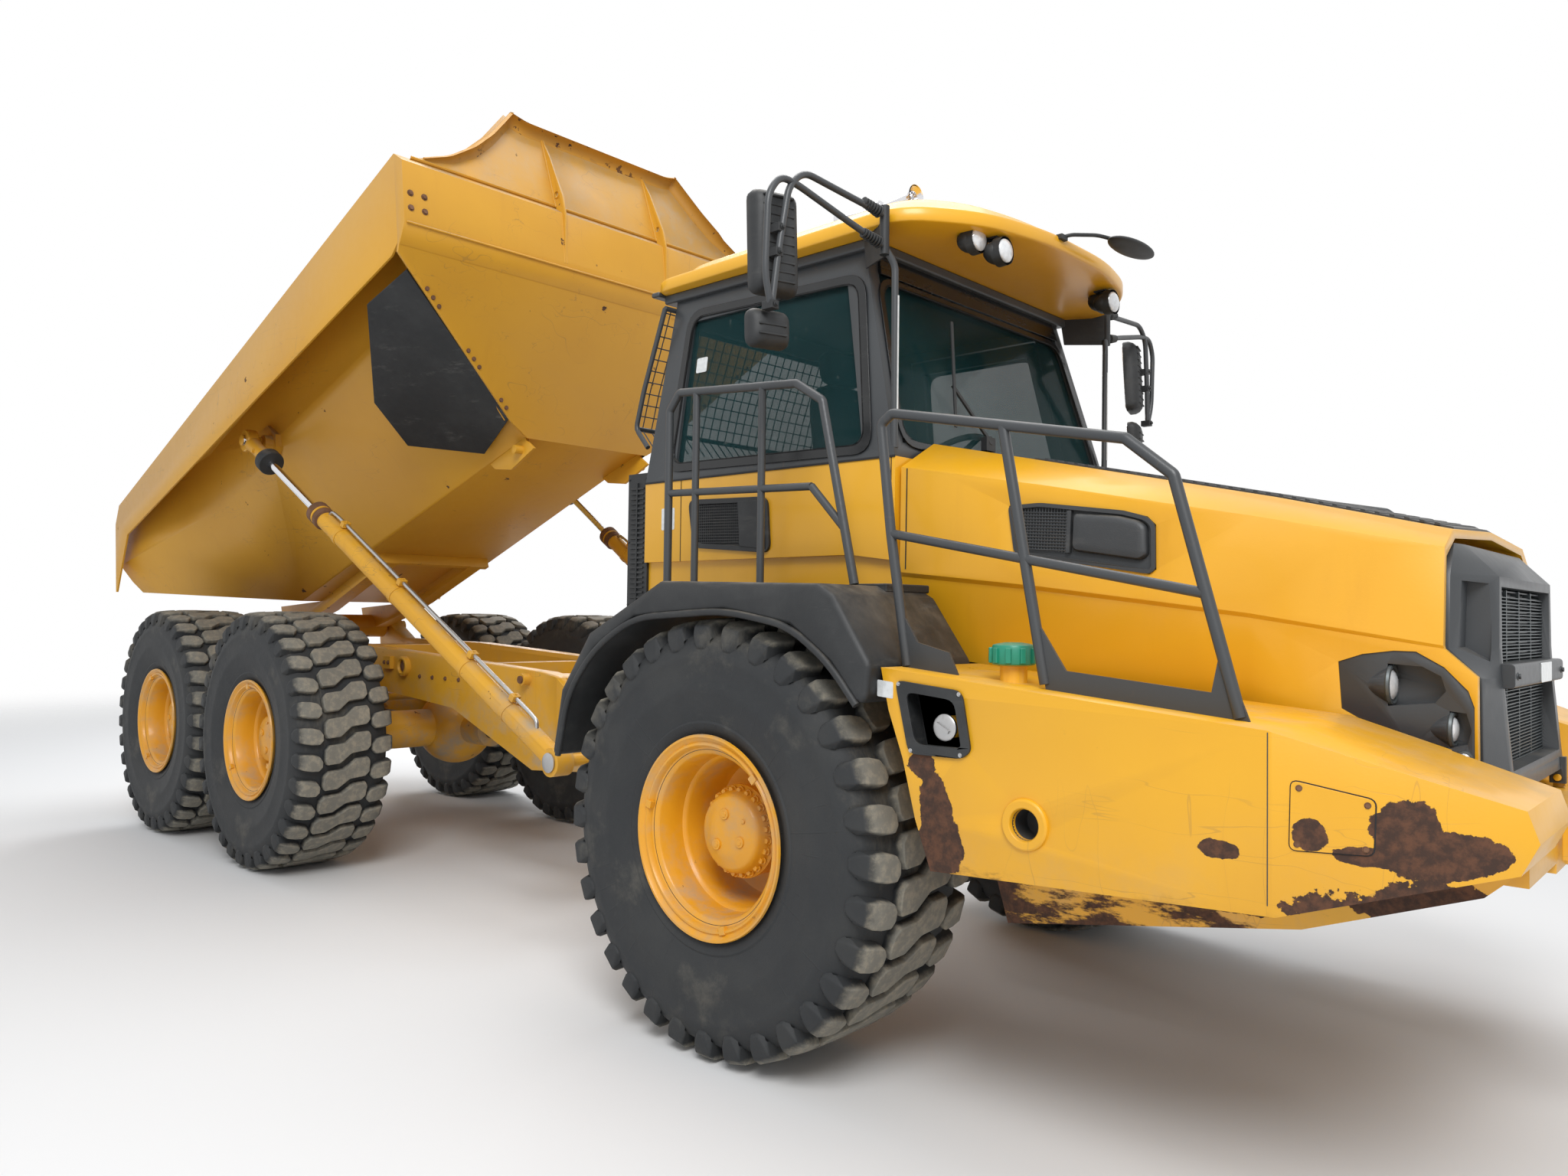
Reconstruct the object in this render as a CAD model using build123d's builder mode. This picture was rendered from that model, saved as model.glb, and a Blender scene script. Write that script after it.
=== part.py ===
from build123d import *
import math
import os

os.makedirs("parts", exist_ok=True)

# An articulated six-wheel dump truck, in millimetres. While it is drawn, x = 0 is the front
# axle, +X is forward, +Y is the driver's left and z = 0 is the ground.

# Overall layout
WHEEL_X = {"front": 0, "middle": -4181, "rear": -5851}
TRACK = 2356
TYRE_RADIUS = 808.5
TYRE_WIDTH = 597
AXLE_Z = TYRE_RADIUS
ORIGIN_X = -2169
SIDES = {"right": -1, "left": 1}
RUNNING_CLEARANCE = 0.3

# Steering pivot between the two frames, and the roll sleeve behind it
PIVOT_X = -1350
PIVOT_Z = 950
PIVOT_PIN_RADIUS = 60
PIVOT_BARREL_RADIUS = 150
PIVOT_BARREL_HEIGHT = 400
SPINDLE_RADIUS = 120
SPINDLE_END_X = -2130

# Tipping body: drawn level, then tipped about its rear hinge
BIN_HINGE_X = -6100
BIN_HINGE_Z = 1500
TIP_ANGLE = 20.1
BIN_PLATE = 18
HINGE_PIN_RADIUS = 45
RAIL_TOP_Z = 2675
RAIL_OUTER_Y = 1420

# Hoist cylinders: the rod's eye and the foot pin, right side, in the tipped pose
HOIST_EYE = (-4812, 1240, 2775)
HOIST_FOOT = (-1650, 923, 876)
HOIST_BARREL_RADIUS = 56
HOIST_ROD_RADIUS = 25
HOIST_GLAND_AT = 2672

# Cab
CAB_FRONT_X = 420
CAB_REAR_X = -1050
CAB_HALF_WIDTH = 880
CAB_FLOOR_Z = 1700
CAB_WAIST_Z = 2240
CAB_TOP_Z = 3110
CAB_WALL = 45
DOOR_GAP = 8


def side_plate(points, y_from, y_to, mode=Mode.ADD):
    """Extrudes an outline of the side view, its points as (x, z), from one y to the other."""
    with BuildSketch(Plane.XZ.offset(-y_from)) as outline:
        Polygon(*points, align=None)
    extrude(outline.sketch, amount=y_from - y_to, mode=mode)


def plan_plate(points, z_from, z_to, mode=Mode.ADD):
    """Extrudes an outline of the plan view, its points as (x, y), from one z to the other."""
    with BuildSketch(Plane.XY.offset(z_from)) as outline:
        Polygon(*points, align=None)
    extrude(outline.sketch, amount=z_to - z_from, mode=mode)


def front_plate(points, x_from, x_to, mode=Mode.ADD):
    """Extrudes an outline of the front view, its points as (y, z), from one x to the other."""
    with BuildSketch(Plane.YZ.offset(x_from)) as outline:
        Polygon(*points, align=None)
    extrude(outline.sketch, amount=x_to - x_from, mode=mode)


def block(x_ends, y_ends, z_ends, mode=Mode.ADD):
    """Adds a box between the two ends given for each axis."""
    centre = [sum(ends) / 2 for ends in (x_ends, y_ends, z_ends)]
    lengths = [abs(ends[1] - ends[0]) for ends in (x_ends, y_ends, z_ends)]
    with Locations(tuple(centre)):
        Box(*lengths, mode=mode)


def bar(start, end, radius, mode=Mode.ADD):
    """Adds a round bar from one point to another."""
    start, end = Vector(*start), Vector(*end)
    with BuildSketch(Plane(origin=start, z_dir=end - start)) as section:
        Circle(radius)
    extrude(section.sketch, amount=(end - start).length, mode=mode)


def bent_tube(points, radius, bend):
    """Adds a round tube along a run of points, with its corners bent to one radius."""
    with BuildLine() as path:
        FilletPolyline(*points, radius=bend)
    with BuildSketch(Plane(origin=path.line @ 0, z_dir=path.line % 0)) as section:
        Circle(radius)
    sweep(section.sketch, path=path.line)


def turned(outline, axle_x, side):
    """Revolves an outline of (radius, distance from the centre line) about a wheel's axle."""
    points = [(axle_x + radius, side * across) for radius, across in outline]
    with BuildSketch(Plane.XY.offset(AXLE_Z)) as half:
        Polygon(*points, align=None)
    revolve(half.sketch, axis=Axis((axle_x, 0, AXLE_Z), (0, 1, 0)))


def mirrored(point, side):
    """A point of the left side, or its twin on the right when side is -1."""
    return (point[0], side * point[1], point[2])


def save(part, name):
    """Moves a finished piece to the middle of the machine, labels it and writes it."""
    piece = part.moved(Location((-ORIGIN_X, 0, 0)))
    piece.label = name
    export_step(piece, f"parts/{name}.step")


def save_tipped(part, name):
    """Tips a piece of the body about the rear hinge, then writes it."""
    hinge = Axis((BIN_HINGE_X, 0, BIN_HINGE_Z), (0, -1, 0))
    save(part.rotate(hinge, TIP_ANGLE), name)


# Wheels: tyre and rim outlines as (radius, distance from the centre line)
WHEEL_Y = TRACK / 2
TYRE_IN = WHEEL_Y - TYRE_WIDTH / 2
TYRE_OUT = WHEEL_Y + TYRE_WIDTH / 2
RIM_SEAT_RADIUS = 318
RIM_FLANGE_RADIUS = 372
RIM_WALL = 20
RIM_OUT = WHEEL_Y + 267
RIM_IN = WHEEL_Y - 267
RIM_DISC_Y = WHEEL_Y - 68
HUB_RADIUS = 176
HUB_OUT = WHEEL_Y + 158
SPINDLE_WHEEL_RADIUS = 90
SPINDLE_WHEEL_END = WHEEL_Y - 138
HUB_FACE_Y = TYRE_IN + 5.5

TYRE_OUTLINE = [
    (RIM_SEAT_RADIUS, RIM_IN + RIM_WALL), (RIM_FLANGE_RADIUS, RIM_IN + RIM_WALL),
    (440, TYRE_IN + 16), (560, TYRE_IN + 4), (660, TYRE_IN), (745, TYRE_IN + 3),
    (790, TYRE_IN + 40), (TYRE_RADIUS, TYRE_IN + 150), (TYRE_RADIUS, TYRE_OUT - 150),
    (790, TYRE_OUT - 40), (745, TYRE_OUT - 3), (660, TYRE_OUT), (560, TYRE_OUT - 4), (440, TYRE_OUT - 16),
    (RIM_FLANGE_RADIUS, RIM_OUT - RIM_WALL), (RIM_SEAT_RADIUS, RIM_OUT - RIM_WALL),
]
RIM_OUTLINE = [
    (RIM_SEAT_RADIUS, RIM_IN + RIM_WALL), (RIM_FLANGE_RADIUS, RIM_IN + RIM_WALL),
    (RIM_FLANGE_RADIUS, RIM_IN), (RIM_SEAT_RADIUS - RIM_WALL, RIM_IN),
    (RIM_SEAT_RADIUS - RIM_WALL, RIM_DISC_Y - 30), (HUB_RADIUS, RIM_DISC_Y - 30),
    (HUB_RADIUS, HUB_FACE_Y), (SPINDLE_WHEEL_RADIUS + RUNNING_CLEARANCE, HUB_FACE_Y),
    (SPINDLE_WHEEL_RADIUS + RUNNING_CLEARANCE, SPINDLE_WHEEL_END + 5), (0, SPINDLE_WHEEL_END + 5),
    (0, HUB_OUT), (HUB_RADIUS - 80, HUB_OUT), (HUB_RADIUS - 26, HUB_OUT - 28),
    (HUB_RADIUS - 8, HUB_OUT - 66), (HUB_RADIUS, HUB_OUT - 72), (HUB_RADIUS, RIM_DISC_Y),
    (RIM_SEAT_RADIUS - 78, RIM_DISC_Y), (RIM_SEAT_RADIUS - 42, RIM_DISC_Y + 30),
    (RIM_SEAT_RADIUS - 40, WHEEL_Y + 100), (RIM_SEAT_RADIUS - 24, WHEEL_Y + 120),
    (RIM_SEAT_RADIUS - 14, WHEEL_Y + 228), (RIM_SEAT_RADIUS + 12, WHEEL_Y + 250),
    (RIM_SEAT_RADIUS + 30, RIM_OUT), (RIM_FLANGE_RADIUS - 14, RIM_OUT + 8), (RIM_FLANGE_RADIUS, RIM_OUT),
    (RIM_FLANGE_RADIUS, RIM_OUT - RIM_WALL), (RIM_SEAT_RADIUS, RIM_OUT - RIM_WALL),
]
# Slots part the tread's shoulder blocks, staggered by half a pitch from one side to the other
TREAD_PITCHES = 32
SLOT_FLOOR = 770
SLOT_WIDTH = 42
SLOT_FROM = 165
SLOT_TO = TYRE_WIDTH / 2 + 10


def shoulder_slot(turn, end):
    """Cuts one slot through a tread's shoulder, on the tyre's outer or inner end."""
    radial = Vector(math.cos(math.radians(turn)), 0, math.sin(math.radians(turn)))
    start = Vector(0, WHEEL_Y + end * (SLOT_FROM + SLOT_TO) / 2, AXLE_Z) + radial * SLOT_FLOOR
    with BuildSketch(Plane(origin=start, x_dir=(0, 1, 0), z_dir=radial)) as slot:
        Rectangle(SLOT_TO - SLOT_FROM, SLOT_WIDTH)
    extrude(slot.sketch, amount=60, mode=Mode.SUBTRACT)


with BuildPart() as tyre:
    turned(TYRE_OUTLINE, 0, 1)
    for index in range(TREAD_PITCHES):
        shoulder_slot(360 / TREAD_PITCHES * index, 1)
        shoulder_slot(360 / TREAD_PITCHES * (index + 0.5), -1)

for side_name, side in SIDES.items():
    with BuildPart() as rim:
        turned(RIM_OUTLINE, 0, side)
    for place, axle_x in WHEEL_X.items():
        save(tyre.part.moved(Location((axle_x, (side - 1) * WHEEL_Y, 0))), f"tyre_{place}_{side_name}")
        save(rim.part.moved(Location((axle_x, 0, 0))), f"rim_{place}_{side_name}")


# Axles: a tube with a round differential case and a spindle at each end
def axle_on(axle_x, tube_radius, case_radius, nose_length, nose_direction):
    """Builds an axle across the machine, with the drive nose pointing along x."""
    case_offset = nose_direction * nose_length
    with BuildPart() as axle:
        bar((axle_x, -HUB_FACE_Y + 5, AXLE_Z), (axle_x, HUB_FACE_Y - 5, AXLE_Z), tube_radius)
        for side in SIDES.values():
            bar((axle_x, side * (HUB_FACE_Y - 165), AXLE_Z), (axle_x, side * (HUB_FACE_Y - 5), AXLE_Z), 170)
            bar((axle_x, side * (HUB_FACE_Y - 5), AXLE_Z), (axle_x, side * SPINDLE_WHEEL_END, AXLE_Z),
                SPINDLE_WHEEL_RADIUS)
        with Locations((axle_x, 0, AXLE_Z)):
            Sphere(case_radius)
        bar((axle_x, 0, AXLE_Z), (axle_x + case_offset, 0, AXLE_Z), 110)
    return axle


FRONT_STRUT_Y = 600
front_axle = axle_on(WHEEL_X["front"], 105, 225, 380, -1)
with BuildPart() as front_axle_complete:
    add(front_axle.part)
    for side in SIDES.values():
        bar((0, side * FRONT_STRUT_Y, AXLE_Z), (0, side * FRONT_STRUT_Y, 1300), 62)
        bar((0, side * 520, AXLE_Z), (-820, side * 120, 830), 50)
    bar((-820, -180, 830), (-820, 180, 830), 70)
save(front_axle_complete.part, "front_axle")

axle_middle = axle_on(WHEEL_X["middle"], 130, 265, 470, 1)
axle_rear = axle_on(WHEEL_X["rear"], 130, 265, 470, 1)
with BuildPart() as rear_axles:
    add(axle_middle.part)
    add(axle_rear.part)
save(rear_axles.part, "rear_axles")

# Where the sills and mudguards end towards the middle
MUDGUARD_OUT = 1492
MUDGUARD_IN = 905


def sill_inner_y(x):
    """The sill's inner edge, which follows the hood's side with a gap."""
    return 905 - 0.09 * (x - 436)


# Front chassis: two rails, the strut towers, the nose cross member and the steering fork
FRONT_RAIL_IN = 330
FRONT_RAIL_OUT = 420
HITCH_PLATE = 45
HITCH_TOP = PIVOT_Z + PIVOT_BARREL_HEIGHT / 2
HITCH_LOW = PIVOT_Z - PIVOT_BARREL_HEIGHT / 2
FRONT_RAIL_OUTLINE = [
    (-1060, 720), (-820, 720), (-560, 960), (360, 960), (560, 800), (2150, 860), (2240, 1010),
    (2240, 1060), (560, 1120), (-330, 1180), (-1060, 1180),
]
with BuildPart() as chassis_front:
    for side in SIDES.values():
        side_plate(FRONT_RAIL_OUTLINE, side * FRONT_RAIL_IN, side * FRONT_RAIL_OUT)
        block((-150, 150), (side * FRONT_RAIL_IN, side * 690), (1300, 1360))
        block((-40, 40), (side * 600, side * 690), (1360, 1690))
        block((-40, 40), (side * 690, side * MUDGUARD_IN), (1650, 1690))
        for x_from, x_to in ((720, 800), (1700, 1780)):
            plan_plate([(x_from, side * FRONT_RAIL_IN), (x_to, side * FRONT_RAIL_IN),
                        (x_to, side * sill_inner_y(x_to)), (x_from, side * sill_inner_y(x_from))], 900, 1020)
        block((-150, -110), (side * FRONT_RAIL_IN, side * 690), (1100, 1300))
        block((110, 150), (side * FRONT_RAIL_IN, side * 690), (1100, 1300))
        block((-1000, -900), (side * FRONT_RAIL_IN, side * 560), (1100, CAB_FLOOR_Z))
        block((260, 340), (side * FRONT_RAIL_IN, side * 560), (1100, CAB_FLOOR_Z))
    for x_from, x_to, z_from, z_to in [(-1060, -960, 720, 1180), (2000, 2150, 880, 1040), (480, 600, 850, 960),
                                       (700, 780, 1040, 1130), (1500, 1580, 1040, 1130)]:
        block((x_from, x_to), (-FRONT_RAIL_IN, FRONT_RAIL_IN), (z_from, z_to))
    for z_from in (HITCH_TOP + RUNNING_CLEARANCE, HITCH_LOW - HITCH_PLATE - RUNNING_CLEARANCE):
        plan_plate(
            [(-1060, -330), (-1060, 330), (PIVOT_X - 60, 150), (PIVOT_X - 150, 0), (PIVOT_X - 60, -150)],
            z_from, z_from + HITCH_PLATE,
        )
    block((-1060, -960), (-330, 330), (HITCH_LOW - HITCH_PLATE, HITCH_TOP + HITCH_PLATE))
    bar((PIVOT_X, 0, HITCH_LOW - 80), (PIVOT_X, 0, HITCH_TOP + 80), PIVOT_PIN_RADIUS)
save(chassis_front.part, "chassis_front")

with BuildPart() as engine_block:
    block((560, 1700), (-300, 300), (1130, 1780))
save(engine_block.part, "engine_block")

# Hitch: the steering barrel with a spindle that the rear frame rolls on
with BuildPart() as hitch_yoke:
    bar((PIVOT_X, 0, HITCH_LOW), (PIVOT_X, 0, HITCH_TOP), PIVOT_BARREL_RADIUS)
    bar((PIVOT_X, 0, PIVOT_Z), (SPINDLE_END_X, 0, PIVOT_Z), SPINDLE_RADIUS)
    bar((PIVOT_X, 0, PIVOT_Z), (PIVOT_X - 250, 0, PIVOT_Z), 190)
    bar((PIVOT_X, 0, HITCH_LOW), (PIVOT_X, 0, HITCH_TOP), PIVOT_PIN_RADIUS + RUNNING_CLEARANCE,
        mode=Mode.SUBTRACT)
    bar((SPINDLE_END_X, 0, PIVOT_Z), (SPINDLE_END_X - 40, 0, PIVOT_Z), SPINDLE_RADIUS)
save(hitch_yoke.part, "hitch_yoke")

# Rear frame: two box rails, cross members, the roll sleeve, the beam pivots and the hinge bosses
REAR_RAIL_IN = 430
REAR_RAIL_OUT = 550
BEAM_PIVOT_X = (WHEEL_X["middle"] + WHEEL_X["rear"]) / 2
BEAM_PIVOT_Z = 1010
REAR_RAIL_OUTLINE = [
    (-2180, 740), (-2420, 720), (-3300, 1020), (-4150, 1080), (BEAM_PIVOT_X + 250, 960),
    (BEAM_PIVOT_X - 250, 960), (-5850, 1090), (-6180, 1330), (BIN_HINGE_X - 105, BIN_HINGE_Z),
    (BIN_HINGE_X, BIN_HINGE_Z + 105), (BIN_HINGE_X + 105, BIN_HINGE_Z), (-5800, 1400), (-4600, 1390),
    (-2350, 1285), (-2180, 1260),
]
SLEEVE_FRONT_X = PIVOT_X - 256
with BuildPart() as rear_frame:
    for side in SIDES.values():
        side_plate(REAR_RAIL_OUTLINE, side * REAR_RAIL_IN, side * REAR_RAIL_OUT)
        side_plate([(-2180, 740), (-2420, 720), (-2420, 1270), (-2180, 1260), (-1960, 1120), (-1960, 790)],
                   side * 150, side * REAR_RAIL_IN)
    block((-2420, -2180), (-REAR_RAIL_IN, REAR_RAIL_IN), (740, 1260))
    bar((SLEEVE_FRONT_X, 0, PIVOT_Z), (-2300, 0, PIVOT_Z), 190)
    bar((SLEEVE_FRONT_X, 0, PIVOT_Z), (SPINDLE_END_X - 50, 0, PIVOT_Z), SPINDLE_RADIUS + RUNNING_CLEARANCE,
        mode=Mode.SUBTRACT)
    for x_from, x_to, z_from, z_to in [(-3300, -3200, 1040, 1300), (-5100, -4930, 1130, 1370),
                                       (-5600, -5500, 1120, 1360)]:
        block((x_from, x_to), (-REAR_RAIL_IN, REAR_RAIL_IN), (z_from, z_to))
    bar((BEAM_PIVOT_X, -800, BEAM_PIVOT_Z), (BEAM_PIVOT_X, 800, BEAM_PIVOT_Z), 70)
    bar((BIN_HINGE_X, -600, BIN_HINGE_Z), (BIN_HINGE_X, 600, BIN_HINGE_Z), HINGE_PIN_RADIUS)
    for side in SIDES.values():
        foot = mirrored(HOIST_FOOT, side)
        side_plate([(-1585, 790), (-1585, 960), (-1960, 1120), (-2180, 1260), (-2180, 740)],
                   side * 500, side * 560)
        block((-2250, -2180), (side * REAR_RAIL_OUT, side * 400), (740, 1260))
        bar((foot[0], side * 500, foot[2]), (foot[0], side * 985, foot[2]), 32)
save(rear_frame.part, "rear_frame")

BEAM_OUT = TYRE_IN - 89.5
BEAM_IN = BEAM_OUT - 150
with BuildPart() as walking_beams:
    for side in SIDES.values():
        side_plate(
            [(WHEEL_X["middle"] + 130, 960), (WHEEL_X["middle"] - 130, 960), (BEAM_PIVOT_X + 160, 880),
             (BEAM_PIVOT_X - 160, 880), (WHEEL_X["rear"] + 130, 960), (WHEEL_X["rear"] - 130, 960),
             (WHEEL_X["rear"] - 130, 1060), (BEAM_PIVOT_X - 160, 1130), (BEAM_PIVOT_X + 160, 1130),
             (WHEEL_X["middle"] + 130, 1060)],
            side * BEAM_IN, side * BEAM_OUT,
        )
        bar((BEAM_PIVOT_X, side * BEAM_IN, BEAM_PIVOT_Z), (BEAM_PIVOT_X, side * BEAM_OUT, BEAM_PIVOT_Z),
            70 + RUNNING_CLEARANCE, mode=Mode.SUBTRACT)
        for axle in ("middle", "rear"):
            block((WHEEL_X[axle] - 90, WHEEL_X[axle] + 90), (side * (BEAM_IN + 20), side * (BEAM_OUT - 20)),
                  (AXLE_Z + 130, 960))
            bar((WHEEL_X[axle], -900, AXLE_Z), (WHEEL_X[axle], 900, AXLE_Z), 170 + RUNNING_CLEARANCE,
                mode=Mode.SUBTRACT)
save(walking_beams.part, "walking_beams")

with BuildPart() as prop_shafts:
    bar((-2420, 0, AXLE_Z), (WHEEL_X["middle"] + 470, 0, AXLE_Z), 55)
    bar((WHEEL_X["middle"] - 230, 0, AXLE_Z), (WHEEL_X["rear"] + 470, 0, AXLE_Z), 50)
    with Locations((WHEEL_X["middle"], 0, AXLE_Z)):
        Sphere(265, mode=Mode.SUBTRACT)
save(prop_shafts.part, "prop_shafts")

# Tipping body sections: x, then half width and z of the chine, the knee and the top edge
BIN_SECTIONS = [
    ("x", "chine_y", "chine_z", "knee_y", "knee_z", "top_y", "top_z"),
    (-1700, 420, 1436, 1060, 2190, 1090, RAIL_TOP_Z),
    (-5500, 548, 1490, 1060, 2220, 1100, RAIL_TOP_Z),
    (-6790, 1230, 2022, 1395, 2240, 1402, RAIL_TOP_Z),
]


def inset(outer, thickness):
    """Moves an open run of (y, z) points inwards by a plate's thickness, with mitred corners."""
    inner = []
    for index, (y, z) in enumerate(outer):
        normals = []
        for first, second in ((index - 1, index), (index, index + 1)):
            if first >= 0 and second < len(outer):
                dy, dz = outer[second][0] - outer[first][0], outer[second][1] - outer[first][1]
                length = math.hypot(dy, dz)
                normals.append((-dz / length, dy / length))
        ny, nz = [sum(n[axis] for n in normals) for axis in (0, 1)]
        scale = 2 / (ny**2 + nz**2) if len(normals) == 2 else 1
        inner.append((y + ny * thickness * scale, z + nz * thickness * scale))
    return inner


def body_sections():
    """Yields each section's x with its outer and inner run of (y, z) points, floor to top."""
    for x, chine_y, chine_z, knee_y, knee_z, top_y, top_z in BIN_SECTIONS[1:]:
        outer = [(0, chine_z), (chine_y, chine_z), (knee_y, knee_z), (top_y, top_z)]
        inner = inset(outer, BIN_PLATE)
        inner[-1] = (inner[-1][0], top_z)
        yield x, outer, inner


def lofted(sections):
    """Lofts straight-sided faces, each given as x and a run of (y, z) points."""
    faces = []
    for x, points in sections:
        with BuildSketch(Plane.YZ.offset(x)) as face:
            Polygon(*points, align=None)
        faces.append(face.sketch.face())
    loft(faces, ruled=True)


# The headboard leans forward: a lower slope to the knee, then a steeper beam to the top
HEAD_FOOT = (-2480, 1431)
HEAD_KNEE = (-1970, 2190)
HEAD_TOP = (-1862, RAIL_TOP_Z)
HEAD_PLATE = 20
GUARD_TOP_Z = 3228
HEAD_PLANE_LOW = Plane(origin=(HEAD_FOOT[0], 0, HEAD_FOOT[1]),
                       z_dir=(HEAD_KNEE[1] - HEAD_FOOT[1], 0, HEAD_FOOT[0] - HEAD_KNEE[0]))
HEAD_PLANE_HIGH = Plane(origin=(HEAD_KNEE[0], 0, HEAD_KNEE[1]),
                        z_dir=(HEAD_TOP[1] - HEAD_KNEE[1], 0, HEAD_KNEE[0] - HEAD_TOP[0]))

with BuildPart() as bin_floor:
    lofted([
        (x, [(-outer[1][0], outer[1][1]), (outer[1][0], outer[1][1]), (inner[1][0], inner[1][1]),
             (-inner[1][0], inner[1][1])])
        for x, outer, inner in body_sections()
    ])
    split(bisect_by=HEAD_PLANE_LOW, keep=Keep.BOTTOM)
save_tipped(bin_floor.part, "bin_floor")

RAIL_WEB = 12
HOIST_LUG_Y = 1100


def level_point(x, z):
    """A point (x, z) of the tipped pose, taken back to where it is with the body level."""
    angle = math.radians(TIP_ANGLE)
    dx, dz = x - BIN_HINGE_X, z - BIN_HINGE_Z
    return (BIN_HINGE_X + dx * math.cos(angle) + dz * math.sin(angle),
            BIN_HINGE_Z - dx * math.sin(angle) + dz * math.cos(angle))


RAIL_OUTLINE = [
    (HEAD_TOP[0], RAIL_TOP_Z), (-6560, RAIL_TOP_Z), (-6680, 2560), (-6810, 2030), (-6790, 2022),
    (-6430, 2372), (-2050, 2158), (HEAD_KNEE[0], HEAD_KNEE[1]),
]
REAR_TRIM = [(-6534, 2700), (-6680, 2560), (-6810, 2030), (-6900, 2030), (-6900, 2700)]
side_panels = []
for side in SIDES.values():
    for low, high in ((1, 2), (2, 3)):
        with BuildPart() as panel:
            lofted([
                (x, [(side * outer[low][0], outer[low][1]), (side * outer[high][0], outer[high][1]),
                     (side * inner[high][0], inner[high][1]), (side * inner[low][0], inner[low][1])])
                for x, outer, inner in body_sections()
            ])
            for front in (HEAD_PLANE_LOW, HEAD_PLANE_HIGH):
                split(bisect_by=front, keep=Keep.BOTTOM)
        side_panels.append(panel.part)

FLANGE_FRONT = HEAD_TOP[0] - 4
with BuildPart() as bin_sides:
    for panel in side_panels:
        add(panel)
    for side in SIDES.values():
        side_plate(RAIL_OUTLINE, side * (RAIL_OUTER_Y - RAIL_WEB), side * RAIL_OUTER_Y)
        plan_plate([(FLANGE_FRONT, side * 1070), (-5500, side * 1080), (-6560, side * 1330),
                    (-6560, side * RAIL_OUTER_Y), (FLANGE_FRONT, side * RAIL_OUTER_Y)],
                   RAIL_TOP_Z - RAIL_WEB, RAIL_TOP_Z)
        lug_x, lug_z = level_point(HOIST_EYE[0], HOIST_EYE[2])
        side_plate([(lug_x - 330, lug_z + 150), (lug_x - 110, lug_z - 60), (lug_x - 20, lug_z - 92),
                    (lug_x + 70, lug_z - 60), (lug_x + 90, lug_z + 30), (lug_x - 20, lug_z + 150)],
                   side * 1050, side * HOIST_LUG_Y)
        bar((lug_x, side * 1050, lug_z), (lug_x, side * (HOIST_LUG_Y + 55), lug_z), 55)
    side_plate(REAR_TRIM, -RAIL_OUTER_Y - 10, RAIL_OUTER_Y + 10, mode=Mode.SUBTRACT)
save_tipped(bin_sides.part, "bin_sides")


HEAD_EDGE = [
    ("half_y", "z"), (460, HEAD_FOOT[1]), (590, 1500), (RAIL_OUTER_Y, 2150), (RAIL_OUTER_Y, HEAD_KNEE[1] + 10),
]
BEAM_OUTLINE = [
    HEAD_TOP, (-1797, 2592), (-1873, 2252), (-1955, 2172), HEAD_KNEE,
]
GUARD_X = HEAD_TOP[0] + 2
GUARD_EDGE = [
    ("half_y", "z"), (1335, RAIL_TOP_Z - 12), (1230, 2700), (1120, 2745), (980, 2850), (840, 2990), (735, 3120),
    (650, GUARD_TOP_Z), (620, GUARD_TOP_Z - 12), (540, GUARD_TOP_Z - 34),
]
RIB_Y = 400
RIB_THICKNESS = 14
with BuildPart() as bin_headboard:
    slope = math.dist(HEAD_FOOT, HEAD_KNEE) / (HEAD_KNEE[1] - HEAD_FOOT[1])
    head_plane = Plane(origin=(HEAD_FOOT[0], 0, HEAD_FOOT[1]), x_dir=(0, 1, 0),
                       z_dir=(HEAD_KNEE[1] - HEAD_FOOT[1], 0, HEAD_FOOT[0] - HEAD_KNEE[0]))
    edge = [(y, (z - HEAD_FOOT[1]) * slope) for y, z in HEAD_EDGE[1:]]
    with BuildSketch(head_plane) as head_outline:
        Polygon(*edge, *[(-y, rise) for y, rise in reversed(edge)], align=None)
    extrude(head_outline.sketch, amount=HEAD_PLATE)
    side_plate(BEAM_OUTLINE, -RAIL_OUTER_Y, RAIL_OUTER_Y)
    guard_edge = GUARD_EDGE[1:]
    front_plate(guard_edge + [(-y, z) for y, z in reversed(guard_edge)], GUARD_X, GUARD_X + HEAD_PLATE)
    for side in SIDES.values():
        side_plate([(GUARD_X + HEAD_PLATE, 3185), (GUARD_X + HEAD_PLATE, 2640), (-1800, 2588), (-1868, 2285),
                    (-1776, 2560), (-1764, 2690), (-1800, 2990)],
                   side * (RIB_Y - RIB_THICKNESS), side * RIB_Y)
        bar((-1806, side * (RIB_Y - 20), 2730), (-1806, side * (RIB_Y + 6), 2730), 17, mode=Mode.SUBTRACT)
    with BuildSketch(Plane(origin=head_plane.from_local_coords((-230, 0, 0)), x_dir=head_plane.y_dir,
                           z_dir=head_plane.x_dir)) as pocket:
        Polygon((180, -1), (410, -1), (200, -110), align=None)
    extrude(pocket.sketch, amount=430)
save_tipped(bin_headboard.part, "bin_headboard")

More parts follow.
